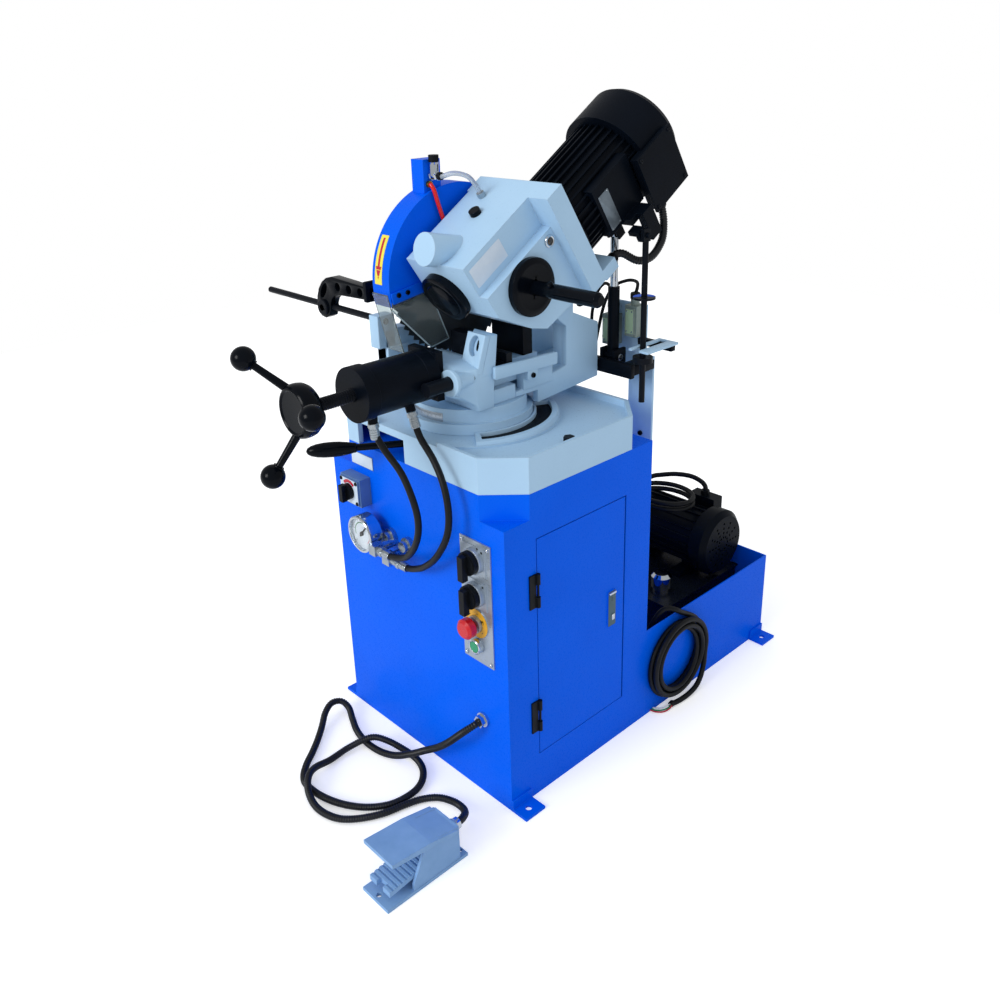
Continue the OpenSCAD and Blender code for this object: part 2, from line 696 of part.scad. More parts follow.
module clamp_cylinder() {
    color(dark) turret() difference() {
        union() {
            rod_y(cyl_x, -574, -413, cyl_z, cyl_d / 2 - 3);
            rod_y(cyl_x, -574, -548, cyl_z, cyl_d / 2);
            rod_y(cyl_x, -440, -413, cyl_z, cyl_d / 2 - 2.5);
            bx(cyl_x - 46, cyl_x + 34, -413, -397, cyl_z - 46, cyl_z + 46);
            rod_z(34, -537, cyl_z - 60, cyl_z - 35, 9);
            translate([42, -464, cyl_z - 32]) rotate([0, 158, 0]) cylinder(r = 9, h = 25);
        }
        rod_y(cyl_x, -580, -390, cyl_z, screw_r + 0.5);
    }
}

module front_jaw() {
    color(dark) turret() difference() {
        union() {
            bx(-33, 55, -265 - jaw_t, -265, 835.3, 835 + jaw_h);
            rod_y(cyl_x, -312, -265 - jaw_t, 860, 18);
            rod_y(cyl_x, -312, -265 - jaw_t, cyl_z + 4, 20);
            bx(55, 108, -279, -265, 826, 870);
            rod_y(guide_x, -462, -279, 841, guide_r);
        }
        rod_y(cyl_x, -313, -285, cyl_z, screw_r + 0.05);
        bx(-60, 140, -320, -260, 820, 825.9);
        bx(-60, 56.4, -320, -260, 820, 835.3);
    }
}

ball_angles = [134.4, 14.4, -105.6];

module handwheel() {
    color(dark) turret() {
        rod_y(cyl_x, -693, -655, cyl_z, hub_r);
        for (a = ball_angles) translate([cyl_x, 0, cyl_z]) rotate([0, -a, 0]) {
            translate([ball_circle_r, -724, 0]) sphere(d = ball_d);
            translate([34, -672, 0]) rotate([0, 0, -32]) rotate([0, 90, 0]) cylinder(r = 7, h = 92);
        }
        rod_y(cyl_x, -655, -286, cyl_z, screw_r);
    }
}

module stop_rod() {
    color(dark) turret() rod_x(-525, -104, -392, 918, stop_rod_d / 2);
}

module stop_arm() {
    color(dark) turret() difference() {
        union() {
            bx(-310, -282, -406, -378, 904, 934);
            bx(-308, -284, -399, -385, 934, 978);
            bx(-308, -138, -399, -385, 966, 984);
            bx(-146, -138, -410, -374, 960, 990);
        }
        rod_x(-320, -270, -392, 918, stop_rod_d / 2 + 0.05);
        for (x = [-270, -230, -190]) rod_y(x, -410, -370, 975, 4);
    }
}

// Rear bracket, post and trip guide, all carried by the arm
plate_y = 66;

module rear_post() {
    color(dark) turret() difference() {
        union() {
            bx(60, 185, -10, 2, 770, 800);
            bx(92, 99, 2, 38, 780, 818);
            bx(125, 132, 2, 38, 780, 818);
            rod_x(92, 132, 20, 800, 7);
            bx(150, 185, 2, plate_y, 775, 795);
        }
    }
    color(pale) turret() {
        bx(117, 185, plate_y, plate_y + 6, 668, 800);
        bx(60, 160, plate_y, plate_y + 6, 800, 905);
        bx(150, 250, plate_y, plate_y + 6, 800, 843);
        difference() {
            bx(192, 250, -40, plate_y + 6, 838, 843);
            bx(203, 221, -50, 60, 830, 850);
        }
    }
}

module limit_switches() {
    color([0.66, 0.66, 0.58]) turret() for (p = [[82, 814], [142, 842]]) {
        bx(p[0] - 15, p[0] + 15, plate_y - 28, plate_y, p[1], p[1] + 64);
        bx(p[0] - 11, p[0] + 11, plate_y - 32, plate_y - 28, p[1] + 5, p[1] + 59);
        rod_z(p[0], plate_y - 14, p[1] + 64, p[1] + 76, 9);
        rod_x(p[0] - 19, p[0] - 15, plate_y - 16, p[1] + 14, 8);
    }
}

lead_left = [[82, 52, 890.6], [82, 52, 900], [82, 52, 910], [74, 56, 930], [54, 60, 936], [38, 56, 918],
    [34, 44, 880], [34, 40, 840], [34, 30, 808], [34, 16, 792], [34, 4, 790], [34, -3, 790], [34, -9.4, 790]];
lead_right = [[142, 52, 918.6], [142, 52, 924], [142, 52, 929], [139, 61, 938], [128, 75, 945], [112, 80, 947],
    [92, 80, 943], [66, 77, 930], [52, 70, 906], [48, 60, 878], [48, 48, 842], [48, 36, 806], [48, 18, 784], [48, 6, 782],
    [48, -2, 782], [48, -9.4, 782]];

module switch_leads() {
    color(dark) turret() {
        tube(curve(lead_left, 3), 3.5, 8, [1, 0, 0]);
        tube(curve(lead_right, 3), 3.5, 8, [1, 0, 0]);
    }
}

// Feed cylinder and its rod, standing between the arm bracket and the pin under the motor
module feed_cylinder() {
    color([0.45, 0.47, 0.50]) turret() difference() {
        union() {
            rod_x(100, 124, 20, 800, 14);
            rod_z(112, 20, 800, 945, 12);
        }
        rod_x(99, 125, 20, 800, 7.05);
        rod_z(112, 20, 818, 950, 8.05);
    }
}

module feed_rod() {
    color(steel) turret() difference() {
        union() {
            rod_z(112, 20, 905, 1046, 8);
            rod_x(104, 120, 20, 1055, 12);
        }
        rod_x(100, 124, 20, 1055, 8);
    }
}

module trip_rod() {
    color(dark) turret() difference() {
        union() {
            rod_z(212, -8, 729, 1052, 6);
            rod_z(212, -8, 812, 824, 20);
            rod_z(212, -8, 940, 944, 22);
            bx(208, 216, -18, 2, 1050, 1074);
        }
        rod_x(200, 224, -8, 1062, 5.05);
    }
}

// Blanked boss that leans forward out of the gearbox top
lever_r = 29.5;
lever_x = 48;
lever_u = -54;
lever_len = 48;

gear_side = [[-88, 117], [-88, 5], [-40, -67], [-10, -97], [100, -108], [100, 117]];
gear_low = [[-88, 53], [-88, 5], [-40, -67], [-10, -97], [100, -108], [100, 53]];

module gearbox() {
    color(pale) head() difference() {
        union() {
            side_x(-28, 127, gear_side);
            side_x(127, 148, gear_low);
            bx(-34, 175, 100, 142, -108, 117);
            bx(116, 175, 142, 182, -112, -88);
            rod_x(-42, -28, 0, 0, 48);
            side_x(-6, 60, [[60, -100], [piv_u + lug_r, -100], [piv_u + lug_r, piv_v],
                [piv_u - lug_r, piv_v], [piv_u - lug_r, -100]]);
            rod_x(-6, 60, piv_u, piv_v, lug_r);
            translate([lever_x, lever_u, 117]) rotate([45, 0, 0]) translate([0, 0, -lever_r])
                cylinder(r = lever_r, h = lever_len + lever_r);
        }
        side_x(-18, 117, [[-78, 106], [-78, 8], [-34, -58], [-6, -86], [90, -96], [90, 106]]);
        side_x(110, 138, [[-78, 44], [-78, 8], [-34, -58], [-6, -86], [90, -96], [90, 44]]);
        bx(-12, 108, 88, 134, -48, 96);
        rod_x(-43, -10, 0, 0, 30.05);
        rod_x(130, 150, 0, 0, 20.05);
        rod_y(worm_x, -90, -70, worm_v, 12.05);
        rod_y(rotor_x, 130, 143, rotor_v, 11);
        rod_y(rotor_x, 138, 143, rotor_v, 40);
        rod_x(-10, 70, piv_u, piv_v, pivot_r + 0.05);
        rod_y(150, 140, 190, -100, 5);
    }
}

module bearing_caps() {
    color(dark) head() {
        difference() {
            rod_y(worm_x, -102, -88, worm_v - 4, 50);
            rod_y(worm_x, -96, -87, worm_v, 13);
        }
        rod_x(148, 158, 0, 0, 53.5);
        rod_x(158, 310, 0, 0, grip_d / 2);
        translate([310, 0, 0]) rotate([0, 90, 0]) cylinder(r1 = grip_d / 2, r2 = grip_d / 2 - 5, h = 7);
        rod_z(41, 44, 117, 126, 11);
    }
}

module saw_motor() {
    color(dark) head() {
        difference() {
            union() {
                rod_y(rotor_x, 142, 154, rotor_v, 92);
                rod_y(rotor_x, 154, 352, rotor_v, motor_r);
                for (a = [0 : 10 : 350]) translate([rotor_x, 0, rotor_v]) rotate([0, a, 0])
                    bx(-1.6, 1.6, 160, 350, motor_r - 3, motor_r + 8);
                bx(138, 163, 327, 349, -60, 10);
                bx(136, 162.5, 206, 318, -62, 44);
            }
            rod_y(rotor_x, 160, 345, rotor_v, motor_r - 14);
            rod_y(rotor_x, 140, 162, rotor_v, 10.5);
            rod_y(rotor_x, 340, 353, rotor_v, 10.5);
        }
        // pin and ears for the feed rod
        for (x = [[96, 101], [123, 128]]) feed_ear(x[0], x[1]);
        rod_x(96, 128, feed_u, feed_v, 5);
        // bracket and pin for the trip rod
        bx(120, 180, 250, 300, -70, -56);
        bx(180, 196, 270, 300, -120, -56);
        bx(196, 205, trip_u - 10, trip_u + 10, trip_v - 10, trip_v + 12);
        bx(180, 205, trip_u - 10, trip_u + 10, trip_v + 2, trip_v + 12);
        rod_x(200, 222, trip_u, trip_v, 5);
    }
}

feed_u = (20 + shift - spin_y) * cos(tilt) + (1055 + lift - spin_z) * sin(tilt);
feed_v = (1055 + lift - spin_z) * cos(tilt) - (20 + shift - spin_y) * sin(tilt);
trip_u = (-8 + shift - spin_y) * cos(tilt) + (1062 + lift - spin_z) * sin(tilt);
trip_v = (1062 + lift - spin_z) * cos(tilt) - (-8 + shift - spin_y) * sin(tilt);

module feed_ear(x0, x1) {
    side_x(x0, x1, [[feed_u - 10, feed_v - 10], [feed_u + 10, feed_v - 10], [feed_u + 10, -60],
        [feed_u - 10, -60]]);
}

module fan_cowl() {
    color(dark) head() difference() {
        union() {
            rod_y(rotor_x, 352, 440, rotor_v, cowl_r);
            translate([rotor_x, 440, rotor_v]) rotate([-90, 0, 0]) cylinder(r1 = cowl_r, r2 = cowl_r - 8, h = 12);
            translate([rotor_x, 452, rotor_v]) rotate([-90, 0, 0])
                cylinder(r1 = cowl_r - 8, r2 = cowl_r - 26, h = 10);
        }
        rod_y(rotor_x, 356, 446, rotor_v, cowl_r - 9);
        rod_y(rotor_x, 350, 357, rotor_v, 30);
        for (r = [24, 38, 52], a = [0 : 30 : 330]) translate([rotor_x, 0, rotor_v]) rotate([0, a, 0])
            rod_y(r, 440, 465, 0, 3.5);
    }
}

module motor_box() {
    color(dark) head() {
        difference() {
            bx(163, 179, 322, 425, -90, 25);
            rod_y(rotor_x, 351, 470, rotor_v, cowl_r + 0.4);
        }
        bx(179, 185, 318, 429, -94, 29);
    }
}

motor_route = [[171, 345, -90.6], [171, 345, -98], [171, 345, -106], [176, 330, -130], [186, 298, -147],
    [190, 254, -149], [183, 224, -134], [166, 212, -108], [160, 200, -100], [160, 192, -100], [160, 182.6, -100]];

module motor_lead() {
    color(dark) head() tube(curve(motor_route, 3), 8, 10, [1, 0, 0]);
}

// Guard: rim and two side walls, open along its lower edge
guard_cut = [[-260, 62], [-168, 62], [-84, 26], [-72, -20], [60, -47], [200, 40], [200, 260], [-260, 260]];

module blade_guard() {
    color(blue) head() difference() {
        intersection() {
            rod_x(-92, -42, 0, 0, guard_r);
            side_x(-92, -42, guard_cut);
        }
        rod_x(-89.5, -44.5, 0, 0, guard_r - 3);
        rod_x(-46, -40, 0, 0, 49);
        rod_x(-93, -88, 0, 0, 30);
    }
}

module clear_shields() {
    color([0.80, 0.86, 0.86, 0.35]) head() {
        side_x(-42, -39.5, [[-156, 66], [-84, 34], [-78, 22], [-98, -82], [-140, -64], [-164, 56]]);
        side_x(-91, -46, [[-152, 82], [-154.5, 81], [-192, -29], [-189.5, -30]]);
    }
}

// Coolant block stands upright on the guard
module coolant_block() {
    color(steel) head() difference() {
        union() {
            translate([-84, 23.6, 163.9]) rotate([-tilt, 0, 0]) cube([34, 40, 65]);
            translate([-52, 58, 185]) rotate([0, 90, 0]) cylinder(r = 7, h = 24);
            translate([-40, 58, 185]) rotate([-tilt, 0, 0]) cylinder(r = 8, h = 24);
            translate([-92, 58, 185]) rotate([0, 90, 0]) cylinder(r = 6, h = 12);
        }
        rod_x(-100, -30, 0, 0, guard_r);
        translate([-40, 58, 185]) rotate([-tilt, 0, 0]) cylinder(r = 3.05, h = 40);
    }
}

module valve_knob() {
    color(dark) head() translate([-40, 58, 185]) rotate([-tilt, 0, 0]) {
        translate([0, 0, 8]) cylinder(r = 3, h = 20);
        translate([0, 0, 24.5]) cylinder(r = 9.5, h = 12);
    }
}

tube_clear = [[-27.4, 58, 185], [-22, 58, 185], [-17, 58, 185], [2, 70, 184], [16, 83, 168], [18, 88, 146],
    [18, 89, 134], [18, 89, 126], [18, 89, 117.6]];
tube_red = [[-49.4, 44, 176], [-46, 44, 176], [-42.6, 43.6, 175], [-37, 40, 166], [-35, 33, 146], [-35, 27, 122],
    [-35, 22, 98], [-35, 18.5, 76], [-35, 17.2, 63.7], [-35, 14.8, 55.0], [-35, 12.7, 47.1]];

module coolant_tubes() {
    color([0.75, 0.78, 0.76]) head() tube(curve(tube_clear, 3), 4.5, 8, [0, 0, 1]);
    color([0.65, 0.08, 0.06]) head() tube(curve(tube_red, 3), 4, 8, [1, 0, 0]);
}

module blade() {
    n = 60;
    r = blade_d / 2;
    color(steel) head() translate([blade_x - blade_t / 2, 0, 0]) rotate([90, 0, 90])
        linear_extrude(height = blade_t) difference() {
            polygon([for (i = [0 : n - 1], k = [0, 1]) let (a = 360 * (i + 0.25 * k) / n)
                (k == 0 ? r - 7 : r) * [cos(a), sin(a)]]);
            circle(r = 20);
            for (a = [45 : 90 : 315]) rotate(a) translate([27, 0]) circle(r = 4.2);
        }
}

module spindle() {
    color(steel) head() {
        rod_x(-86, blade_x - blade_t / 2, 0, 0, 19);
        rod_x(blade_x - blade_t / 2, blade_x + blade_t / 2, 0, 0, 20);
        rod_x(-72, blade_x - blade_t / 2, 0, 0, 38);
        for (a = [45 : 90 : 315]) rotate([a, 0, 0]) rod_x(-70, -55, 27, 0, 4.2);
        rod_x(blade_x + blade_t / 2, -50, 0, 0, 40);
        rod_x(-50, 20, 0, 0, 30);
        rod_x(20, 147, 0, 0, 20);
        translate([worm_x - 14, 0, 0]) rotate([90, 0, 90]) linear_extrude(height = 28) difference() {
            circle(r = wheel_r);
            for (i = [0 : 29]) rotate(i * 12) translate([wheel_r, 0]) square([3, 2.6], center = true);
        }
    }
}

module worm_shaft() {
    color(steel) head() difference() {
        union() {
            rod_y(worm_x, -95, -30, worm_v, 12);
            for (i = [0 : 9]) rod_y(worm_x, -30 + i * 6, -27 + i * 6, worm_v, worm_r);
            rod_y(worm_x, -30, 112, worm_v, 9.5);
            translate([worm_x, 112, worm_v]) rotate([-90, 0, 0]) linear_extrude(height = 18) difference() {
                circle(r = gear_r);
                for (i = [0 : 35]) rotate(i * 10) translate([gear_r, 0]) square([3, 3], center = true);
            }
        }
    }
}

module motor_rotor() {
    color(steel) head() {
        rod_y(rotor_x, 112, 395, rotor_v, 10);
        translate([rotor_x, 112, rotor_v]) rotate([-90, 0, 0]) linear_extrude(height = 18) difference() {
            circle(r = pinion_r);
            for (i = [0 : 19]) rotate(i * 18 + 9) translate([pinion_r, 0]) square([3, 3], center = true);
        }
        rod_y(rotor_x, 180, 325, rotor_v, 50);
        rod_y(rotor_x, 380, 392, rotor_v, 20);
        for (a = [0 : 45 : 315]) translate([rotor_x, 0, rotor_v]) rotate([0, a, 0])
            bx(-1.5, 1.5, 366, 392, 18, 80);
        rod_y(rotor_x, 366, 370, rotor_v, 80);
    }
}

cabinet();
rear_tray();
anchor_feet();
door();
door_hinges();
table_casting();
table_bolts();
control_panel();
selector_upper();
selector_lower();
stop_button();
start_button();
switch_box();
switch_knob();
gauge_case();
gauge_pointer();
front_fittings();
clamp_hoses();
conduit_gland();
foot_conduit();
pedal_base();
pedal_treadle();
power_cable();
oil_tank();
pump_motor();
oil_breather();
pump_lead();
lock_lever();
turntable();
arm_casting();
vise_frame();
rear_jaw();
clamp_cylinder();
pivot_shaft();
rear_post();
limit_switches();
switch_leads();
stop_rod();
stop_arm();
front_jaw();
handwheel();
gearbox();
bearing_caps();
saw_motor();
fan_cowl();
motor_box();
motor_lead();
blade_guard();
clear_shields();
coolant_block();
valve_knob();
coolant_tubes();
blade();
spindle();
worm_shaft();
motor_rotor();
feed_cylinder();
feed_rod();
trip_rod();
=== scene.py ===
import math

import bmesh
import bpy
from mathutils import Matrix, Vector


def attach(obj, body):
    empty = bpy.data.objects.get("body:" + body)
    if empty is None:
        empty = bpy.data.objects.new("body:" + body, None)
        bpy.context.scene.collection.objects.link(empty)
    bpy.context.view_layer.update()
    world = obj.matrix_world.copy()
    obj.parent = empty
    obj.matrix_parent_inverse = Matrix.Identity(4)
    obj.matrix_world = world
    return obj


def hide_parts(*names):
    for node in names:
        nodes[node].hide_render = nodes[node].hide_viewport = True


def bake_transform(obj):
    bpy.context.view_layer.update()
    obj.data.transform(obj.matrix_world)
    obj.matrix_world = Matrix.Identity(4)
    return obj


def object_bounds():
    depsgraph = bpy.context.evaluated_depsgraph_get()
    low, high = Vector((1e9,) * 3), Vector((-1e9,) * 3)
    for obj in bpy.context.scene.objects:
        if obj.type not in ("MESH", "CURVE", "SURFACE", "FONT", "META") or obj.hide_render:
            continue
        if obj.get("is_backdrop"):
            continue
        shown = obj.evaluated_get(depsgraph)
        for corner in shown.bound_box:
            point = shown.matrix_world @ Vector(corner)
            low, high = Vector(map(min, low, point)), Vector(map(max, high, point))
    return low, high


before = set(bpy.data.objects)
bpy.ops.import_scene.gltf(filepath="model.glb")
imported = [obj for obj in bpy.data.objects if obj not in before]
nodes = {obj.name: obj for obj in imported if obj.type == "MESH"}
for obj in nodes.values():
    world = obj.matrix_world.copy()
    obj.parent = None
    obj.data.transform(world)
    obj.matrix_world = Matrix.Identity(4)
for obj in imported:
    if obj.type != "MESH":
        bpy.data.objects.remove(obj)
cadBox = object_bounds()
print("frame loaded,", len(nodes), "nodes")

mm = 0.001  # places below are in millimetres, the scene is in metres
toRight = (1, 0, 0)
toFront = (0, -1, 0)
toBack = (0, 1, 0)
toTop = (0, 0, 1)
tiltAngle = math.radians(33.2)
spindlePlace = (0.0, -254.9, 997.5)


def headWay(x, u, v):  # direction on the tilted head, u along the motor, v away from the table
    y = u * math.cos(tiltAngle) - v * math.sin(tiltAngle)
    z = u * math.sin(tiltAngle) + v * math.cos(tiltAngle)
    return (x, y, z)


def headPlace(x, u, v):  # point on the tilted head
    y = spindlePlace[1] + u * math.cos(tiltAngle) - v * math.sin(tiltAngle)
    z = spindlePlace[2] + u * math.sin(tiltAngle) + v * math.cos(tiltAngle)
    return (x, y, z)


def around(radius, angle):  # the two coordinates of a point on a circle, the angle in degrees
    return (radius * math.cos(math.radians(angle)), radius * math.sin(math.radians(angle)))


def aim(origin, axis, turn=None):  # matrix with its Z along axis, X near turn, at origin in millimetres
    z = Vector(axis).normalized()
    x = Vector(turn) if turn else z.orthogonal()
    x = (x - x.dot(z) * z).normalized()
    m = Matrix((x, z.cross(x), z)).transposed().to_4x4()
    m.translation = Vector(origin) * mm
    return m


def headAim(place, way, turn=None):  # the same on the tilted head
    return aim(headPlace(*place), headWay(*way), headWay(*turn) if turn else None)


# camera of the photograph
cameraSetup = {
    "place": (1341.0, -1438.2, 1376.7),
    "right": (0.691169, 0.722227, -0.025941),
    "up": (-0.245713, 0.268600, 0.931386),
    "back": (0.679640, -0.637371, 0.363109),
    "lens": 34.264, "sensor": 36.0,
    "shift": (-0.0075, -0.0693),
    "clip": (0.01, 60.0),
}


def makeCamera(v):
    data = bpy.data.cameras.new("photoCamera")
    data.sensor_width = v["sensor"]
    data.lens = v["lens"]
    data.shift_x, data.shift_y = v["shift"]
    data.clip_start, data.clip_end = v["clip"]
    camera = bpy.data.objects.new("photoCamera", data)
    axes = Matrix((v["right"], v["up"], v["back"])).transposed().to_4x4()
    axes.translation = Vector(v["place"]) * mm
    camera.matrix_world = axes
    bpy.context.scene.collection.objects.link(camera)
    bpy.context.scene.camera = camera


makeCamera(cameraSetup)
print("camera set")


def toLinear(code):
    parts = [int(code[i:i + 2], 16) / 255.0 for i in (1, 3, 5)]
    return [p / 12.92 if p <= 0.04045 else ((p + 0.055) / 1.055) ** 2.4 for p in parts] + [1.0]


def addNode(tree, kind, links=None, **settings):
    node = tree.nodes.new(kind)
    for key, value in settings.items():
        setattr(node, key, value)
    for key, value in (links or {}).items():
        if isinstance(value, bpy.types.NodeSocket):
            tree.links.new(value, node.inputs[key])
        else:
            node.inputs[key].default_value = value
    return node


# the values of one finish; slot is the material slot of a piece that has it, edgeMm the rounding of its
# edges, edge the paler colour painted on them as wear and highlight, wear how far
def finishRow(slot, colour, shade, patchMm, roughness, spread, grainMm, bumpMm,
              edgeMm=0.0, edge=None, wear=0.0, gloss=0.4, metallic=0.0, coat=0.0, transmission=0.0,
              ior=1.5, stretch=(1, 1, 1)):
    return dict(locals())


# each finish: what the real one is, then what that gives the eye; its row has slot, colour, shade, patchMm,
# roughness, spread, grainMm, bumpMm, and where its edges show edgeMm, edge, wear
finishes = {
    # gloss enamel sprayed on sheet steel: faint orange peel, thin pale wear and painted highlight on the
    # edges
    "blueEnamel": finishRow(
        "blue_paint", "#0062F2", "#0058E2", 160, 0.30, 0.08, 3.0, 0.012, 1.2, "#4C92FF", 0.35, gloss=0.05),
    # two-part enamel over filled cast iron: soft sheen, slight waviness, paler corners of wear and painted
    # highlight
    "paleEnamel": finishRow(
        "pale_paint", "#AED0EC", "#A2C4E0", 110, 0.34, 0.10, 4.0, 0.03, 1.8, "#E2EEF8", 0.5, gloss=0.2),
    # black stove enamel on motor castings: dull sheen, sandy casting skin
    "motorBlack": finishRow(
        "black_paint", "#0A111C", "#04080F", 60, 0.38, 0.12, 2.4, 0.05, 1.0, "#233247", 0.5, gloss=0.07),
    # black oxide on machined steel: fine turned grain, bright edges of rubbed wear and painted highlight
    "blackOxide": finishRow(
        "black_paint", "#10151E", "#070A10", 40, 0.36, 0.12, 1.6, 0.01, 0.8, "#4A545F", 0.5, gloss=0.1),
    # glossy black phenolic and painted wheel parts: small sharp highlights
    "blackGloss": finishRow(
        "black_paint", "#070C14", "#03060B", 50, 0.18, 0.06, 2.0, 0.01, 0.8, "#1C2836", 0.3, gloss=0.1),
    # moulded black ABS with a fine spark-eroded texture: even, dull
    "blackPlastic": finishRow(
        "black_plastic", "#0C1016", "#06090D", 30, 0.42, 0.08, 1.2, 0.02, 0.6, "#222A34", 0.25, gloss=0.15),
    # soft black rubber and PVC sheath: broad weak highlight
    "blackRubber": finishRow("black_rubber", "#0B0F15", "#05070B", 25, 0.48, 0.10, 1.5, 0.015, gloss=0.25),
    # nylon conduit: ribs slightly polished on their tops
    "blackConduit": finishRow("black_rubber", "#0B1018", "#05080D", 30, 0.36, 0.08, 1.2, 0.01),
    # ground steel: highlights drawn out along the grinding
    "brightSteel": finishRow(
        "bright_steel", "#B9C2CA", "#98A3AD", 40, 0.28, 0.10, 1.5, 0.008,
        0.5, "#E6ECF2", 0.3, metallic=1.0, stretch=(1.0, 6.0, 1.0)),
    # blade steel, steam-treated dark: fine grain from grinding, dull
    "bladeSteel": finishRow(
        "bright_steel", "#3C4248", "#2A2F34", 30, 0.38, 0.12, 1.2, 0.010,
        0.4, "#8A939A", 0.4, gloss=0.2, metallic=0.5),
    # zinc plate on fittings: pale, a little cloudy
    "zincPlate": finishRow(
        "bright_steel", "#C3CBD1", "#9BA6AE", 12, 0.26, 0.10, 1.2, 0.006,
        0.5, "#EEF3F6", 0.3, metallic=1.0),
    # nickel-chrome plate: clear reflections
    "chromePlate": finishRow(
        "chromed", "#DCE2E8", "#C2CAD2", 30, 0.10, 0.05, 2.0, 0.003, 0.5, "#F4F7FA", 0.2, metallic=1.0),
    # brushed aluminium face plate: fine level lines
    "brushedPlate": finishRow(
        "panel_metal", "#BCC7D2", "#A3B0BE", 50, 0.34, 0.10, 1.1, 0.010,
        0.6, "#E8EEF4", 0.3, metallic=0.75, stretch=(0.06, 1.0, 1.0)),
    # turned brass: warm, soft highlights
    "turnedBrass": finishRow(
        "bright_steel", "#C79A3E", "#A87C2A", 10, 0.28, 0.10, 1.0, 0.006,
        0.4, "#F0CF86", 0.3, metallic=1.0),
    # yellow painted ring under the stop button: even, half dull
    "yellowRing": finishRow(
        "panel_metal", "#E0A92C", "#C48F1C", 12, 0.36, 0.08, 1.0, 0.006, 0.4, "#F6D27A", 0.25),
    # moulded red cap: clean gloss
    "redCap": finishRow(
        None, "#D01422", "#B00C18", 16, 0.28, 0.06, 1.0, 0.008, 0.6, "#F0505A", 0.2, coat=0.3),
    # moulded green cap: clean gloss
    "greenCap": finishRow(
        None, "#0F9C6C", "#0A7E56", 12, 0.26, 0.06, 1.0, 0.006, 0.5, "#58D2A8", 0.2, coat=0.3),
    # blue-grey hammered paint on the foot switch casting: dimpled, edges paler as wear and painted highlight
    "pedalPaint": finishRow(None, "#86AEDC", "#6C96C6", 35, 0.42, 0.10, 3.2, 0.06, 1.0, "#B9D0EA", 0.45),
    # dark grey paint on the oil tank: uneven sheen
    "tankPaint": finishRow(
        None, "#141B26", "#0B1018", 90, 0.32, 0.14, 4.0, 0.02, 1.0, "#33404F", 0.4, gloss=0.2),
    # beige-grey die cast switch body: dull, grainy
    "beigeCast": finishRow(None, "#8E9C98", "#76857F", 20, 0.46, 0.08, 1.6, 0.03, 0.8, "#BECAC4", 0.35),
    # pale green switch face plate: flat colour
    "greenPlate": finishRow(
        "beige_plastic", "#B4CBA9", "#9FB894", 14, 0.40, 0.06, 1.2, 0.006, 0.4, "#DCE8D4", 0.25),
    # grey-blue moulded switch box: dull
    "greyBox": finishRow(None, "#5D80B4", "#4A6A9A", 24, 0.44, 0.08, 1.4, 0.02, 0.8, "#9DB9DC", 0.3),
    # white printed face and blank plates: smooth film
    "whitePlate": finishRow(
        "grey_plastic", "#D3E0EE", "#BFD0E2", 20, 0.36, 0.06, 1.6, 0.004, 0.3, "#F2F7FC", 0.2),
    # etched bare nameplate: dull aluminium with a faint grain
    "barePlate": finishRow(
        "black_paint", "#8C99A4", "#6F7C88", 12, 0.40, 0.10, 0.9, 0.006,
        0.4, "#C2CCD4", 0.4, metallic=0.8, stretch=(1.0, 0.1, 1.0)),
    # yellow film plate on the guard: smooth, even
    "yellowPlate": finishRow(
        "blue_paint", "#F2E65A", "#E4D548", 18, 0.34, 0.05, 1.6, 0.004, 0.3, "#FFF6A6", 0.2),
    # printing inks: flat colour with no edge
    "redInk": finishRow("blue_paint", "#C81E3C", "#B0142E", 10, 0.40, 0.05, 1.0, 0.003),
    "blackInk": finishRow("panel_metal", "#12161C", "#0A0D12", 10, 0.45, 0.05, 1.0, 0.003),
    "greenInk": finishRow("chromed", "#2C8A4C", "#227040", 10, 0.45, 0.05, 1.0, 0.003),
    # red polyurethane tube: wet-looking
    "redTube": finishRow("red_plastic", "#E81C14", "#C8120E", 14, 0.26, 0.05, 1.2, 0.004, coat=0.2),
    # clear braided PVC tube: milky
    "clearTube": finishRow(
        "clear_tube", "#DDE6F0", "#C6D3E2", 6, 0.20, 0.05, 1.6, 0.02, transmission=0.55, ior=1.45),
    # clear polycarbonate sheet: scuffed and a little smoky
    "clearSheet": finishRow(
        None, "#C6D2D4", "#B4C2C4", 40, 0.07, 0.05, 6.0, 0.006, transmission=0.88, ior=1.3),
    # sawn edge of the clear sheet: pale where it gathers the light
    "sheetEdge": finishRow("clear_plastic", "#B9CBD2", "#9DB2BC", 20, 0.30, 0.08, 1.0, 0.01),
    # dark hammered paint on the lock plate: dimpled, edges paler as wear and painted highlight
    "lockPaint": finishRow(
        "grey_plastic", "#46636F", "#385460", 14, 0.40, 0.08, 1.6, 0.02, 0.6, "#8CA6B0", 0.4),
    # white enamelled dial: flat and even
    "dialWhite": finishRow("chromed", "#E4ECF4", "#D6E0EA", 20, 0.42, 0.04, 2.0, 0.002),
    # oil seen through the sight glass: dark amber under a clear surface
    "oilWindow": finishRow("clear_plastic", "#3A2E1A", "#2A2012", 6, 0.08, 0.03, 2.0, 0.002, coat=0.6),
    # gauge glass: clear, hardly seen
    "gaugeGlass": finishRow(
        "clear_plastic", "#FFFFFF", "#F6FAFC", 30, 0.02, 0.01, 8.0, 0.001, transmission=1.0, ior=1.2),
    # coloured conductor sheaths: soft sheen
    "whiteWire": finishRow("black_rubber", "#E6ECF2", "#D2DCE6", 8, 0.40, 0.05, 1.0, 0.004),
    "greenWire": finishRow("black_rubber", "#1E9A6A", "#157E54", 8, 0.40, 0.05, 1.0, 0.004),
    "redWire": finishRow("black_rubber", "#C8324A", "#AE2438", 8, 0.40, 0.05, 1.0, 0.004),
}
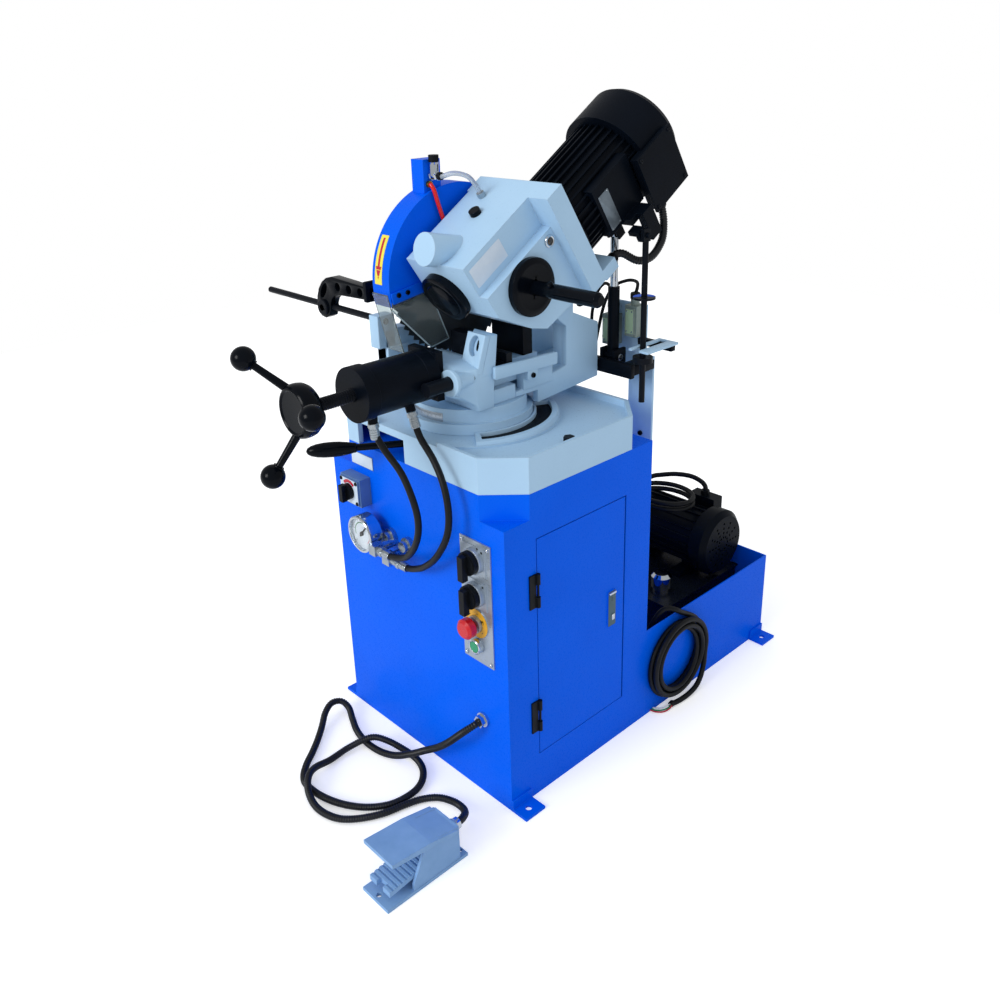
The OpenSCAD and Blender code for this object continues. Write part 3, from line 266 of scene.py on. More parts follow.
# what all finishes share: noise detail, range of the grain, how far an edge bends before it is painted paler
finishShared = {"patchDetail": 3.0, "patchRough": 0.55, "grainDetail": 2.0, "grainRange": (0.25, 0.75),
                "bendRange": (0.985, 0.80), "edgeSamples": 4, "coatRough": 0.12, "smoothest": 0.01}


def makeFinish(name, v, shared):
    material = bpy.data.materials.new(name)
    material.use_nodes = True
    tree = material.node_tree
    tree.nodes.clear()
    coords = addNode(tree, "ShaderNodeTexCoord").outputs["Object"]
    stretched = addNode(tree, "ShaderNodeMapping", {"Vector": coords, "Scale": v["stretch"]})
    patch = addNode(tree, "ShaderNodeTexNoise", {
        "Vector": coords, "Scale": 1000.0 / v["patchMm"], "Detail": shared["patchDetail"],
        "Roughness": shared["patchRough"]})
    grain = addNode(tree, "ShaderNodeTexNoise", {
        "Vector": stretched.outputs["Vector"], "Scale": 1000.0 / v["grainMm"],
        "Detail": shared["grainDetail"]})
    colour = addNode(tree, "ShaderNodeMix", {"Factor": patch.outputs["Fac"]}, data_type="RGBA")
    colour.inputs["A"].default_value = toLinear(v["shade"])
    colour.inputs["B"].default_value = toLinear(v["colour"])
    result = colour.outputs["Result"]
    low, high = shared["grainRange"]
    rough = addNode(tree, "ShaderNodeMapRange", {
        "Value": grain.outputs["Fac"], "From Min": low, "From Max": high,
        "To Min": max(v["roughness"] - v["spread"], shared["smoothest"]),
        "To Max": v["roughness"] + v["spread"]})
    bump = addNode(tree, "ShaderNodeBump", {
        "Height": grain.outputs["Fac"], "Strength": 1.0, "Distance": v["bumpMm"] * mm})
    if v["edgeMm"] > 0:  # rounded edges, painted a little paler along them as wear and painted highlight
        soft = addNode(tree, "ShaderNodeBevel", {"Radius": v["edgeMm"] * mm}, samples=shared["edgeSamples"])
        tree.links.new(soft.outputs["Normal"], bump.inputs["Normal"])
        face = addNode(tree, "ShaderNodeNewGeometry").outputs["True Normal"]
        bend = addNode(tree, "ShaderNodeVectorMath", {0: soft.outputs["Normal"], 1: face},
                       operation="DOT_PRODUCT")
        flat, bent = shared["bendRange"]
        edge = addNode(tree, "ShaderNodeMapRange", {
            "Value": bend.outputs["Value"], "From Min": flat, "From Max": bent, "To Min": 0.0,
            "To Max": v["wear"]})
        rub = addNode(tree, "ShaderNodeMath", {0: edge.outputs["Result"], 1: patch.outputs["Fac"]},
                      operation="MULTIPLY")
        worn = addNode(tree, "ShaderNodeMix", {"Factor": rub.outputs["Value"]}, data_type="RGBA")
        tree.links.new(result, worn.inputs["A"])
        worn.inputs["B"].default_value = toLinear(v["edge"])
        result = worn.outputs["Result"]
    shader = addNode(tree, "ShaderNodeBsdfPrincipled", {
        "Base Color": result, "Roughness": rough.outputs["Result"], "Normal": bump.outputs["Normal"],
        "Metallic": v["metallic"], "Coat Weight": v["coat"], "Coat Roughness": shared["coatRough"],
        "Specular IOR Level": v["gloss"], "Transmission Weight": v["transmission"], "IOR": v["ior"]})
    addNode(tree, "ShaderNodeOutputMaterial", {"Surface": shader.outputs["BSDF"]})
    material.diffuse_color = toLinear(v["colour"])
    return material


materials = {name: makeFinish(name, v, finishShared) for name, v in finishes.items()}
print("finishes made,", len(materials))


# a finished piece: slot, given where it isn't the finish's own, is not used; node where it takes a CAD node's
# place
def keepPiece(bm, name, finish, body, place=None, slot=None, node=None, sharp=32):
    if place is not None:
        bmesh.ops.transform(bm, matrix=place, verts=bm.verts)
    bmesh.ops.recalc_face_normals(bm, faces=bm.faces)
    mesh = bpy.data.meshes.new(name)
    bm.to_mesh(mesh)
    bm.free()
    mesh.shade_smooth()
    mesh.set_sharp_from_angle(angle=math.radians(sharp))
    mesh.materials.append(materials[finish])
    piece = bpy.data.objects.new(name, mesh)
    bpy.context.scene.collection.objects.link(piece)
    if body:
        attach(piece, body)
    if node:
        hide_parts(node)
    return piece


def smoothPath(points, count=8):  # curve through the points, as the CAD routes are drawn
    found = []
    last = len(points) - 1
    for i in range(last):
        a, b, c, d = (Vector(points[k]) for k in (max(i - 1, 0), i, i + 1, min(i + 2, last)))
        for k in range(count):
            t = k / count
            found.append(0.5 * (2 * b + (c - a) * t + (2 * a - 5 * b + 4 * c - d) * t * t
                                + (3 * b - a - 3 * c + d) * t ** 3))
    return found + [Vector(points[last])]


def evenPath(points, step):  # the same line with even spacing
    lengths = [0.0]
    for a, b in zip(points, points[1:]):
        lengths.append(lengths[-1] + (b - a).length)
    count = max(int(round(lengths[-1] / step)), 2)
    found = []
    k = 0
    for i in range(count + 1):
        s = lengths[-1] * i / count
        while k < len(lengths) - 2 and lengths[k + 1] < s:
            k += 1
        t = (s - lengths[k]) / max(lengths[k + 1] - lengths[k], 1e-9)
        found.append(points[k].lerp(points[k + 1], min(t, 1.0)))
    return found


def pathLength(path):  # in metres
    return sum((b - a).length for a, b in zip(path, path[1:])) * mm


def sweepTube(name, path, radius, sides, finish, body, ribs=None):
    bm = bmesh.new()
    side = None
    rings = []
    plain = 4  # rings at each end that have no ribs
    for i, p in enumerate(path):
        t = (path[min(i + 1, len(path) - 1)] - path[max(i - 1, 0)]).normalized()
        side = t.orthogonal().normalized() if side is None else (side - side.dot(t) * t).normalized()
        other = t.cross(side)
        ribbed = ribs is not None and plain <= i < len(path) - plain
        r = radius - ribs[i % len(ribs)] if ribbed else radius
        rings.append([bm.verts.new((p + r * (math.cos(a) * side + math.sin(a) * other)) * mm)
                      for a in (2 * math.pi * k / sides for k in range(sides))])
    for a, b in zip(rings, rings[1:]):
        for k in range(sides):
            bm.faces.new((a[k], a[(k + 1) % sides], b[(k + 1) % sides], b[k]))
    bm.faces.new(rings[0])
    bm.faces.new(rings[-1])
    return keepPiece(bm, name, finish, body, sharp=60)


# foot conduit: shown end to end in the photograph
footConduit = {
    "route": [
        (188, -450, 183), (188, -466, 182), (172, -484, 165), (135, -492, 125), (95, -489, 88),
        (55, -490, 58), (20, -498, 34), (-20, -512, 14), (-60, -524, 9), (-105, -527, 9), (-150, -519, 9),
        (-190, -503, 10),
        (-222, -490, 16), (-244, -494, 24), (-250, -516, 28), (-238, -542, 22), (-214, -568, 12),
        (-186, -598, 9), (-160, -628, 9), (-138, -656, 9), (-112, -680, 9), (-85, -690, 9), (-38, -687, 9),
        (12, -670, 9), (55, -640, 9), (82, -600, 9), (88, -555, 9), (78, -522, 9), (52, -496, 9),
        (18, -484, 9), (-22, -484, 9), (-62, -499, 20), (-90, -522, 27), (-112, -565, 14), (-112, -615, 10),
        (-102, -658, 22), (-82, -686, 27), (-52, -705, 18), (-12, -711, 9), (35, -700, 9), (66, -672, 9),
        (91, -628, 9),
        (103, -583, 9), (115, -550, 9), (135, -524, 9), (165, -511, 10), (192, -511, 13), (214, -522, 22),
        (232, -542, 36), (243, -560, 46), (246, -577, 50)],
    "diameter": 15.0, "length": 1.957, "ribPitch": 4.8, "ribs": (0.0, 0.0, 1.3, 1.3),
}
conduitPath = evenPath(smoothPath(footConduit["route"]), footConduit["ribPitch"] / 4)
conduit = sweepTube("footConduit", conduitPath, footConduit["diameter"] / 2, 12, "blackConduit", "base",
                    footConduit["ribs"])
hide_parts("foot_conduit")

# power cable: over the tray rim, into its coil of 24 steps a turn, out to the bare ends
powerCable = {"diameter": 12.0, "length": 2.584, "coilX": 267.0, "coilY": 70.0, "coilZ": 112.0,
              "coilR": 100.0, "step": 14.5}


def coilPoint(k, v):
    turns = k / 24
    r = v["coilR"] - v["step"] * turns
    if turns >= 2:
        r = v["coilR"] - v["step"] * 2 + v["step"] * max(turns - 2.5, 0)
    x = v["coilX"] + v["step"] * (0 if turns < 2 else min((turns - 2) * 2, 1))
    y, z = around(r, 90 - 15 * k)
    return Vector((x, v["coilY"] + y, v["coilZ"] + z))


coilOut = powerCable["coilX"] + powerCable["step"]
cableIn = [(225, -29.7, 150), (225, -10, 152), (228, 10, 172), (234, 26, 206), (244, 40, 232), (256, 52, 240),
           (266, 66, 234), (powerCable["coilX"], 84, 221)]
cableOut = [(coilOut, 163, 62), (coilOut + 4, 149, 34), (coilOut + 8, 124, 15), (coilOut + 9, 92, 8.5),
            (coilOut + 7, 62, 7), (coilOut + 2, 36, 7)]
cableCoil = [coilPoint(k, powerCable) for k in range(2, 104)]
cableLine = smoothPath(cableIn, 2) + cableCoil + smoothPath(cableOut, 3)
cablePath = evenPath(smoothPath(cableLine, 3), 5.0)
cable = sweepTube("powerCable", cablePath, powerCable["diameter"] / 2, 14, "blackRubber", "base")
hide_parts("power_cable")

# stripped conductors at the far end, bound with tape
cableEnd = {
    "whiteWire": [(283, 38, 8.5), (281, 26, 8), (276, 14, 6), (268, 6, 4.5), (258, 2, 4)],
    "greenWire": [(285, 38, 6), (285, 24, 4.5), (279, 10, 3.2), (269, 0, 3.2), (258, -3, 3.2)],
    "redWire": [(287, 38, 8), (290, 24, 6), (285, 8, 3.2), (273, -4, 3.2), (259, -8, 3.2)],
}
wireRadius = 1.7
wires = []
for wireName, wireRoute in cableEnd.items():
    wirePath = evenPath(smoothPath(wireRoute, 6), 2.0)
    wires.append(sweepTube(wireName + "End", wirePath, wireRadius, 8, wireName, "base"))

# pump lead: out of the cabinet, two loops laid on the motor, into its terminal box
pumpLead = {
    "diameter": 12.0, "length": 1.456, "loopAt": (40, 306, 343), "loopR": (78, 62), "loopStart": 200,
    "rise": 14.5,
    "enter": [(0, -29.6, 445), (0, -20, 445), (0, -10, 445), (-8, 40, 438), (-26, 110, 412), (-46, 180, 377),
              (-56, 235, 352), (-48, 268, 344)],
    "leave": [(-20, 348, 380), (20, 374, 388), (60, 392, 388), (88, 400, 378), (98, 402, 366), (98, 402, 357),
              (98, 402, 347.6)],
}


def loopPoint(k, v):  # the same steps, rising as it goes round
    x, y, z = v["loopAt"]
    a = math.radians(v["loopStart"] - 15 * k)
    wide, deep = v["loopR"]
    return Vector((x + wide * math.cos(a), y + deep * math.sin(a), z + v["rise"] * k / 24))


leadLoops = [loopPoint(k, pumpLead) for k in range(51)]
leadLine = smoothPath(pumpLead["enter"], 2) + leadLoops + smoothPath(pumpLead["leave"], 3)
leadPath = evenPath(smoothPath(leadLine, 3), 5.0)
lead = sweepTube("pumpLead", leadPath, pumpLead["diameter"] / 2, 14, "blackRubber", "base")
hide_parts("pump_lead")

# hydraulic clamp hoses: follow the turret at the top and the cabinet at the bottom
hoseRadius = 6.5
clampHoses = {
    "hoseA": [(34, -537, 786.4), (34, -537, 779), (34, -537, 771), (52, -529, 737), (86, -520, 697),
              (114, -518, 645), (110, -510, 596), (82, -500, 544), (36, -489, 500), (-4, -488, 485),
              (-22, -488, 482), (-34, -488, 482), (-45.4, -488, 482)],
    "hoseB": [(51.6, -464, 791.26), (54.6, -464, 783.85), (57.9, -464, 775.6), (76, -466, 748),
              (116, -470, 716), (146, -475, 677), (161, -480, 629), (154, -482, 582), (118, -480, 527),
              (72, -474, 487), (34, -469, 466), (10, -468, 458), (-4, -468, 458), (-19.4, -468, 458)],
}
hosePaths = {hoseName: evenPath(smoothPath(route), 4.0) for hoseName, route in clampHoses.items()}
for hoseName, path in hosePaths.items():
    hose = sweepTube(hoseName, path, hoseRadius, 14, "blackRubber", None)
    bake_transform(hose)
    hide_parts("clamp_hoses")
    print(hoseName, "length", round(pathLength(path), 3))

# leads of the two limit switches
leadRadius = 3.5
switchLeads = {
    "left": [(82, 52, 890.6), (82, 52, 900), (82, 52, 910), (74, 56, 930), (54, 60, 936), (38, 56, 918),
             (34, 44, 880), (34, 40, 840), (34, 30, 808), (34, 16, 792), (34, 4, 790), (34, -3, 790),
             (34, -9.4, 790)],
    "right": [(142, 52, 918.6), (142, 52, 924), (142, 52, 929), (139, 61, 938), (128, 75, 945),
              (112, 80, 947), (92, 80, 943), (66, 77, 930), (52, 70, 906), (48, 60, 878), (48, 48, 842),
              (48, 36, 806), (48, 18, 784), (48, 6, 782), (48, -2, 782), (48, -9.4, 782)],
}
for leadName, route in switchLeads.items():
    path = evenPath(smoothPath(route), 3.0)
    piece = sweepTube("switchLead." + leadName, path, leadRadius, 12, "blackRubber", "turret")
    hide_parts("switch_leads")

# conduit from the terminal box to the gearbox foot, and the coolant tubes, in places on the head
headTubes = {
    "motorLead": {
        "radius": 8.0, "finish": "blackConduit", "node": "motor_lead", "ribs": (0.0, 0.0, 0.9, 0.9),
        "step": 1.2,
        "route": [(171, 345, -90.6), (171, 345, -98), (171, 345, -106), (176, 330, -130), (186, 298, -147),
                  (190, 254, -149), (183, 224, -134), (166, 212, -108), (160, 200, -100), (160, 192, -100),
                  (160, 182.6, -100)]},
    "clearTube": {
        "radius": 4.5, "finish": "clearTube", "node": "coolant_tubes", "ribs": None, "step": 3.0,
        "route": [(-27.4, 58, 185), (-22, 58, 185), (-17, 58, 185), (2, 70, 184), (16, 83, 168),
                  (18, 88, 146), (18, 89, 134), (18, 89, 126), (18, 89, 117.6)]},
    "redTube": {
        "radius": 4.0, "finish": "redTube", "node": "coolant_tubes", "ribs": None, "step": 3.0,
        "route": [(-49.4, 44, 176), (-46, 44, 176), (-42.6, 43.6, 175), (-37, 40, 166), (-35, 33, 146),
                  (-35, 27, 122), (-35, 22, 98), (-35, 18.5, 76), (-35, 17.2, 63.7), (-35, 14.8, 55.0),
                  (-35, 12.7, 47.1)]},
}
for tubeName, v in headTubes.items():
    path = evenPath(smoothPath([headPlace(*p) for p in v["route"]]), v["step"])
    piece = sweepTube(tubeName, path, v["radius"], 12, v["finish"], "saw_head", v["ribs"])
    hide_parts(v["node"])
print("cords laid")


# rings of (radius, height) in millimetres bridged in turn, a third value gives a ring that number of flats
def stackRings(rings, steps=24, closed=False):
    bm = bmesh.new()
    loops = []
    for radius, height, *flats in rings:
        made = bmesh.ops.create_circle(bm, segments=steps, radius=radius * mm)["verts"]
        for v in made:
            for count in flats:
                a = math.atan2(v.co.y, v.co.x) % (2 * math.pi / count) - math.pi / count
                v.co *= math.cos(math.pi / count) / math.cos(a)
            v.co.z = height * mm
        loops.append(list({e for v in made for e in v.link_edges}))
    pairs = list(zip(loops, loops[1:]))
    if closed:
        pairs.append((loops[-1], loops[0]))
    for a, b in pairs:
        bmesh.ops.bridge_loops(bm, edges=a + b)
    if not closed:
        bmesh.ops.contextual_create(bm, geom=loops[0])
        bmesh.ops.contextual_create(bm, geom=loops[-1])
    return bm


def soften(bm, geom, size, segments=2, affect="EDGES", clamp=False):
    bmesh.ops.bevel(bm, geom=geom, offset=size * mm, affect=affect, segments=segments, profile=0.5,
                    material=-1, clamp_overlap=clamp)


def vertsOf(geom):
    return [g for g in geom if isinstance(g, bmesh.types.BMVert)]


def raiseFlat(bm, thick, edge):  # flat outline to a closed plate, its upper rim rounded
    top = vertsOf(bmesh.ops.extrude_face_region(bm, geom=bm.faces[:], use_keep_orig=True)["geom"])
    bmesh.ops.translate(bm, vec=(0, 0, thick * mm), verts=top)
    if edge > 0:
        upper = set(top)
        rim = [e for e in bm.edges if all(v in upper for v in e.verts)
               and any(any(v not in upper for v in f.verts) for f in e.link_faces)]
        soften(bm, rim, edge)
    return bm


def roundPlate(width, height, thick, corner, edge=0.3, across=1):
    bm = bmesh.new()
    bmesh.ops.create_grid(bm, x_segments=across, y_segments=1, size=0.5)
    bmesh.ops.scale(bm, vec=(width * mm, height * mm, 1), verts=bm.verts)
    soften(bm, [v for v in bm.verts if len(v.link_edges) == 2], corner, 4, "VERTICES")
    return raiseFlat(bm, thick, edge)


def inkMarks(marks, thick=0.12):  # printed marks, each (x, y, width, height, turn in degrees) on a plate
    bm = bmesh.new()
    for x, y, width, height, turn in marks:
        place = Matrix.Translation((x * mm, y * mm, 0)) @ Matrix.Rotation(math.radians(turn), 4, "Z")
        bmesh.ops.create_grid(bm, x_segments=1, y_segments=1, size=0.5,
                              matrix=place @ Matrix.Diagonal((width * mm, height * mm, 1, 1)))
    return raiseFlat(bm, thick, 0)


def markRank(i):  # 0 for every tenth mark of a scale, 1 for every fifth, 2 for the others
    return 0 if i % 10 == 0 else 1 if i % 5 == 0 else 2


def arcMark(inner, outer, start, end, thick=0.12):  # part of a flat ring, angles in degrees
    bm = bmesh.new()
    ends = []
    for r in (inner, outer):
        x, y = around(r, start)
        ends.append(bm.verts.new((x * mm, y * mm, 0)))
    line = bm.edges.new(ends)
    bmesh.ops.spin(bm, geom=ends + [line], cent=(0, 0, 0), axis=(0, 0, 1), angle=math.radians(end - start),
                   steps=max(int(abs(end - start) / 5), 3))
    return raiseFlat(bm, thick, 0)


def wrapRound(bm, radius):  # bends a flat piece round the Z axis, its X along the arc
    for v in bm.verts:
        a = v.co.x / (radius * mm)
        r = radius * mm + v.co.z
        v.co = Vector((r * math.cos(a), r * math.sin(a), v.co.y))
    return bm


def repeatAt(bm, places):  # one small piece copied to each place
    source = bm.verts[:] + bm.edges[:] + bm.faces[:]
    for place in places:
        made = bmesh.ops.duplicate(bm, geom=source)["geom"]
        bmesh.ops.transform(bm, matrix=place, verts=vertsOf(made))
    bmesh.ops.delete(bm, geom=vertsOf(source), context="VERTS")
    return bm


def fourCorners(place, wide, tall):  # the corners of a plate that faces the operator
    x, y, z = place
    return [aim((x + a * wide, y, z + b * tall), toFront) for a in (-1, 1) for b in (-1, 1)]


def outlinePlate(outline, holes, thick, edge):  # flat outline with oval holes raised to a plate
    bm = bmesh.new()
    loops = [list(outline)]
    for x, y, long, wide, turn in holes:
        c, s = around(1, turn)
        steps = [2 * math.pi * k / 20 for k in range(20)]
        ring = [(long * math.cos(t), wide * math.sin(t)) for t in steps]
        loops.append([(x + a * c - b * s, y + a * s + b * c) for a, b in ring])
    for loop in loops:
        verts = [bm.verts.new((a * mm, b * mm, 0)) for a, b in loop]
        for first, second in zip(verts, verts[1:] + verts[:1]):
            bm.edges.new((first, second))
    bmesh.ops.triangle_fill(bm, edges=bm.edges[:], use_beauty=True)
    bmesh.ops.dissolve_limit(bm, angle_limit=0.01, verts=bm.verts, edges=bm.edges)
    return raiseFlat(bm, thick, edge)


def loftRings(levels, soft):  # outlines of (x, y) at rising heights joined in turn, edges rounded
    bm = bmesh.new()
    loops = []
    for z, outline in levels:
        ring = [bm.verts.new((x * mm, y * mm, z * mm)) for x, y in outline]
        loops.append([bm.edges.new(pair) for pair in zip(ring, ring[1:] + ring[:1])])
    for a, b in zip(loops, loops[1:]):
        bmesh.ops.bridge_loops(bm, edges=a + b)
    bmesh.ops.contextual_create(bm, geom=loops[0])
    bmesh.ops.contextual_create(bm, geom=loops[-1])
    bmesh.ops.recalc_face_normals(bm, faces=bm.faces)
    bent = [e for e in bm.edges if e.calc_face_angle(0) > math.radians(20)]
    soften(bm, bent, soft, 3, clamp=True)
    return bm


def blockSet(boxes, soft):  # bars and plates with rounded edges, each given by its x, y and z limits
    bm = bmesh.new()
    for x0, x1, y0, y1, z0, z1 in boxes:
        middle = Matrix.Translation(Vector((x0 + x1, y0 + y1, z0 + z1)) * mm / 2)
        sides = Matrix.Diagonal(((x1 - x0) * mm, (y1 - y0) * mm, (z1 - z0) * mm, 1))
        bmesh.ops.create_cube(bm, size=1.0, matrix=middle @ sides)
    soften(bm, bm.edges[:], soft)
    return bm


def capScrew(radius, height):  # socket head screw
    return stackRings([(radius, 0), (radius, height - 0.5), (radius - 0.5, height), (radius * 0.6, height, 6),
                       (radius * 0.56, height * 0.4, 6)])


def panScrew(radius, height):  # low round head with a driver recess
    return stackRings([(radius, 0), (radius * 0.97, height * 0.45), (radius * 0.78, height * 0.85),
                       (radius * 0.42, height), (radius * 0.36, height, 4), (radius * 0.3, height * 0.5, 4)])


def nutSleeve(inner, outer, height, flats):  # chamfered nut or gland round a cord
    return stackRings([(inner, 0), (outer * 0.92, 0), (outer, height * 0.12, flats),
                       (outer, height * 0.8, flats), (outer * 0.9, height), (inner, height)], closed=True)


# door lock: handle plate let into the door, chromed lip and push button
doorLock = {
    "place": (262.5, -150.0, 334.0), "plate": (22.0, 80.0, 0.8, 2.0, 0.25), "lip": (20.0, 5.0, 3.0, 1.2, 0.8),
    "button": (9.0, 13.5, 2.4, 1.8, 0.8), "slits": [(0, 3, 5, 0.8, 0), (0, 0, 5, 0.8, 0), (0, -3, 5, 0.8, 0)],
    "lipUp": 36, "buttonDown": 20, "buttonAcross": 2, "slitsUp": 22,
}


def makeDoorLock(v):
    x, y, z = v["place"]
    proud = x + v["plate"][2]
    pieces = {
        "doorLockPlate": (roundPlate(*v["plate"]), "lockPaint", (x, y, z), None),
        "doorLockLip": (roundPlate(*v["lip"]), "chromePlate", (proud, y, z + v["lipUp"]), None),
        "doorLockButton": (roundPlate(*v["button"]), "chromePlate",
                           (proud, y + v["buttonAcross"], z - v["buttonDown"]), None),
        "doorLockSlits": (inkMarks(v["slits"]), "blackInk", (proud, y, z + v["slitsUp"]), "grey_plastic"),
    }
    for name, (bm, finish, place, slot) in pieces.items():
        keepPiece(bm, name, finish, "door_leaf", aim(place, toRight, toBack), slot)


makeDoorLock(doorLock)

# control panel: ring under the stop button, bezel of the start button, screws, selector marks and collars
panelParts = {
    "x": 184.0, "plateY": -445.0, "ringY": -447.0, "bezelY": -453.0, "stopZ": 400.0, "startZ": 352.0,
    "ring": [(17.4, 0), (17.4, 2.0), (26, 2.0), (29.6, 0.8), (29.6, 0)],
    "bezel": [(11.7, 0), (11.7, 2.0), (13.4, 2.6), (15.3, 1.4), (15.6, 0), (15.6, -8), (11.7, -8)],
    "collar": [(23.6, 0), (23.6, 10.2), (24.6, 10.2), (25.4, 9.2), (25.4, 0)],
    "arrowR": 22, "arrow": (5.0, 1.2), "screwZ": 443.0, "screws": (34.0, 121.0), "screw": (3.8, 1.6),
    "selectors": {"upper": (533.0, [(9, 25.8, 4.5, 4.0, 0), (20, 21.5, 5.0, 4.5, 0)]),
                  "lower": (463.0, [(20, 20.5, 4.5, 4.5, 0)])},
}


def makePanelParts(v):
    x = v["x"]
    y = v["plateY"]
    keepPiece(stackRings(v["ring"], 48, True), "stopRing", "yellowRing", "base",
              aim((x, y, v["stopZ"]), toFront))
    arrows = [around(v["arrowR"], a) + v["arrow"] + (a + 90,) for a in range(20, 380, 60)]
    keepPiece(inkMarks(arrows, 0.1), "stopRingMarks", "blackInk", "base",
              aim((x, v["ringY"], v["stopZ"]), toFront, toRight))
    keepPiece(stackRings(v["bezel"], 48, True), "startBezel", "chromePlate", "base",
              aim((x, v["bezelY"], v["startZ"]), toFront))
    corners = fourCorners((x, y, v["screwZ"]), *v["screws"])
    keepPiece(repeatAt(panScrew(*v["screw"]), corners), "panelScrews", "chromePlate", "base")
    for name, (z, marks) in v["selectors"].items():
        keepPiece(inkMarks(marks), name + "Marks", "blackInk", "base", aim((x, y, z), toFront, toRight))
        keepPiece(stackRings(v["collar"], 48, True), name + "Collar", "brushedPlate", "base",
                  aim((x, y, z), toFront))


makePanelParts(panelParts)

# main switch: printed face with its red sector, corner screws, bare plate above
switchParts = {
    "place": (-166.0, -470.0, 569.0), "face": (58.0, 52.0, 0.3, 2.5, 0.1),
    "sector": (18.2, 25.0, 42, 138, 0.42), "screwY": -470.3, "screws": (25.0, 22.0), "screw": (4.2, 2.4),
    "label": (70.0, 26.0, 0.4, 1.5, 0.1), "labelAt": (-154.0, -441.2, 631.0),
}


def makeSwitchParts(v):
    x, y, z = v["place"]
    facing = aim((x, y, z), toFront, toRight)
    keepPiece(roundPlate(*v["face"]), "switchFace", "whitePlate", "base", facing)
    keepPiece(arcMark(*v["sector"]), "switchSector", "redInk", "base", facing, "grey_plastic")
    corners = fourCorners((x, v["screwY"], z), *v["screws"])
    keepPiece(repeatAt(panScrew(*v["screw"]), corners), "switchScrews", "blackPlastic", "base")
    keepPiece(roundPlate(*v["label"]), "switchLabel", "whitePlate", "base",
              aim(v["labelAt"], toFront, toRight))


makeSwitchParts(switchParts)

# pressure gauge: dial, scale, coloured sectors, glass and bezel
gaugeParts = {
    "place": (-112.0, -483.0, 496.0), "dialR": 34.4, "glass": (5.4, 6.6), "start": 225, "sweep": 270.0,
    "marks": 50, "markGap": 3.0, "markLong": (5.0, 3.4, 2.2), "markWide": (0.9, 0.45, 0.45),
    "sectors": {"gaugeGreen": ("greenInk", (22.6, 24.4, 60, 200, 0.26)),
                "gaugeRed": ("redInk", (22.6, 24.4, -45, 20, 0.26))},
    "bezel": [(33.0, 6.7), (34.0, 8.4), (36.5, 9.0), (38.8, 7.6), (39.5, 5.0), (39.5, -6.0), (39.0, -6.0),
              (39.0, 6.0)],
}


def makeGauge(v):
    facing = aim(v["place"], toFront, toRight)
    r = v["dialR"]
    keepPiece(stackRings([(r, 0), (r, 0.2)], 48), "gaugeDial", "dialWhite", "base", facing)
    marks = []
    for i in range(v["marks"] + 1):
        a = v["start"] - v["sweep"] * i / v["marks"]
        long = v["markLong"][markRank(i)]
        marks.append(around(r - v["markGap"] - long / 2, a) + (long, v["markWide"][markRank(i)], a))
    keepPiece(inkMarks(marks, 0.28), "gaugeScale", "blackInk", "base", facing, "chromed")
    for name, (finish, sector) in v["sectors"].items():
        keepPiece(arcMark(*sector), name, finish, "base", facing, "chromed")
    keepPiece(stackRings([(r, h) for h in v["glass"]], 48), "gaugeCover", "gaugeGlass", "base", facing)
    keepPiece(stackRings(v["bezel"], 64, True), "gaugeBezel", "chromePlate", "base", facing)


makeGauge(gaugeParts)

# crimped ferrules and nuts on the four hose ends
ferruleParts = {
    "nut": [(6.6, 0.3), (9.568, 0.3), (10.4, 1.2, 6), (10.4, 8.0, 6), (9.36, 9.0), (7.6, 9.4), (7.6, 11.4)],
    "band": [(8.8, 0), (8.8, 3.2), (8.2, 3.7), (8.2, 4.2)], "bands": 4, "bandStart": 11.8, "bandPitch": 4.5,
    "end": [(7.9, 30.0), (6.6, 30.0)],
}


def makeFerrule(name, origin, way, body, v):
    bands = [(r, v["bandStart"] + k * v["bandPitch"] + h) for k in range(v["bands"]) for r, h in v["band"]]
    keepPiece(stackRings(v["nut"] + bands + v["end"], 24, True), name, "zincPlate", body, aim(origin, way))


for hoseName, path in hosePaths.items():
    makeFerrule(hoseName + "Top", path[0], path[5] - path[0], "turret", ferruleParts)
    makeFerrule(hoseName + "Foot", path[-1], path[-6] - path[-1], "base", ferruleParts)
print("cabinet fittings made")

# swivel scale on the turntable
scalePlate = {"radius": 113.05, "centre": (0.0, -280.0, 756.5), "start": -122.0, "end": -68.0, "height": 17.0,
              "thick": 0.6, "corner": 1.5, "soft": 0.15, "marks": 26, "pitches": 56, "markGap": 1.5,
              "markLong": (8.0, 6.0, 4.0), "markWide": 0.5}


def makeScale(v):
    arc = math.radians(v["end"] - v["start"]) * v["radius"]
    middle = (v["start"] + v["end"]) / 2
    place = aim(v["centre"], toTop, around(1, middle) + (0,))
    plate = roundPlate(arc, v["height"], v["thick"], v["corner"], v["soft"], 40)
    keepPiece(wrapRound(plate, v["radius"]), "swivelScale", "brushedPlate", "turret", place, "bright_steel")
    marks = []
    for i in range(-v["marks"], v["marks"] + 1):
        long = v["markLong"][markRank(i)]
        high = v["height"] / 2 - v["markGap"] - long / 2
        marks.append((i * arc / v["pitches"], high, v["markWide"], long, 0))
    bm = wrapRound(inkMarks(marks), v["radius"] + v["thick"])
    keepPiece(bm, "swivelMarks", "blackInk", "turret", place, "bright_steel")


makeScale(scalePlate)

# swivel slot: raised casting round it, dark sheets of painted shade on its floor and halfway down; shades are
# depth, gap to the walls, thickness
slotParts = {"centre": (0.0, -280.0, 735.0), "inner": 131.0, "outer": 162.0, "start": -34.0, "end": 62.0,
             "lip": 12.0, "wall": 5.0, "past": 4.0, "low": -8.4, "high": -1.2,
             "shades": {"slotFloorShade": (-19.9, 0.2, 0.3), "slotShade": (-9.4, 0.3, 0.4)}}


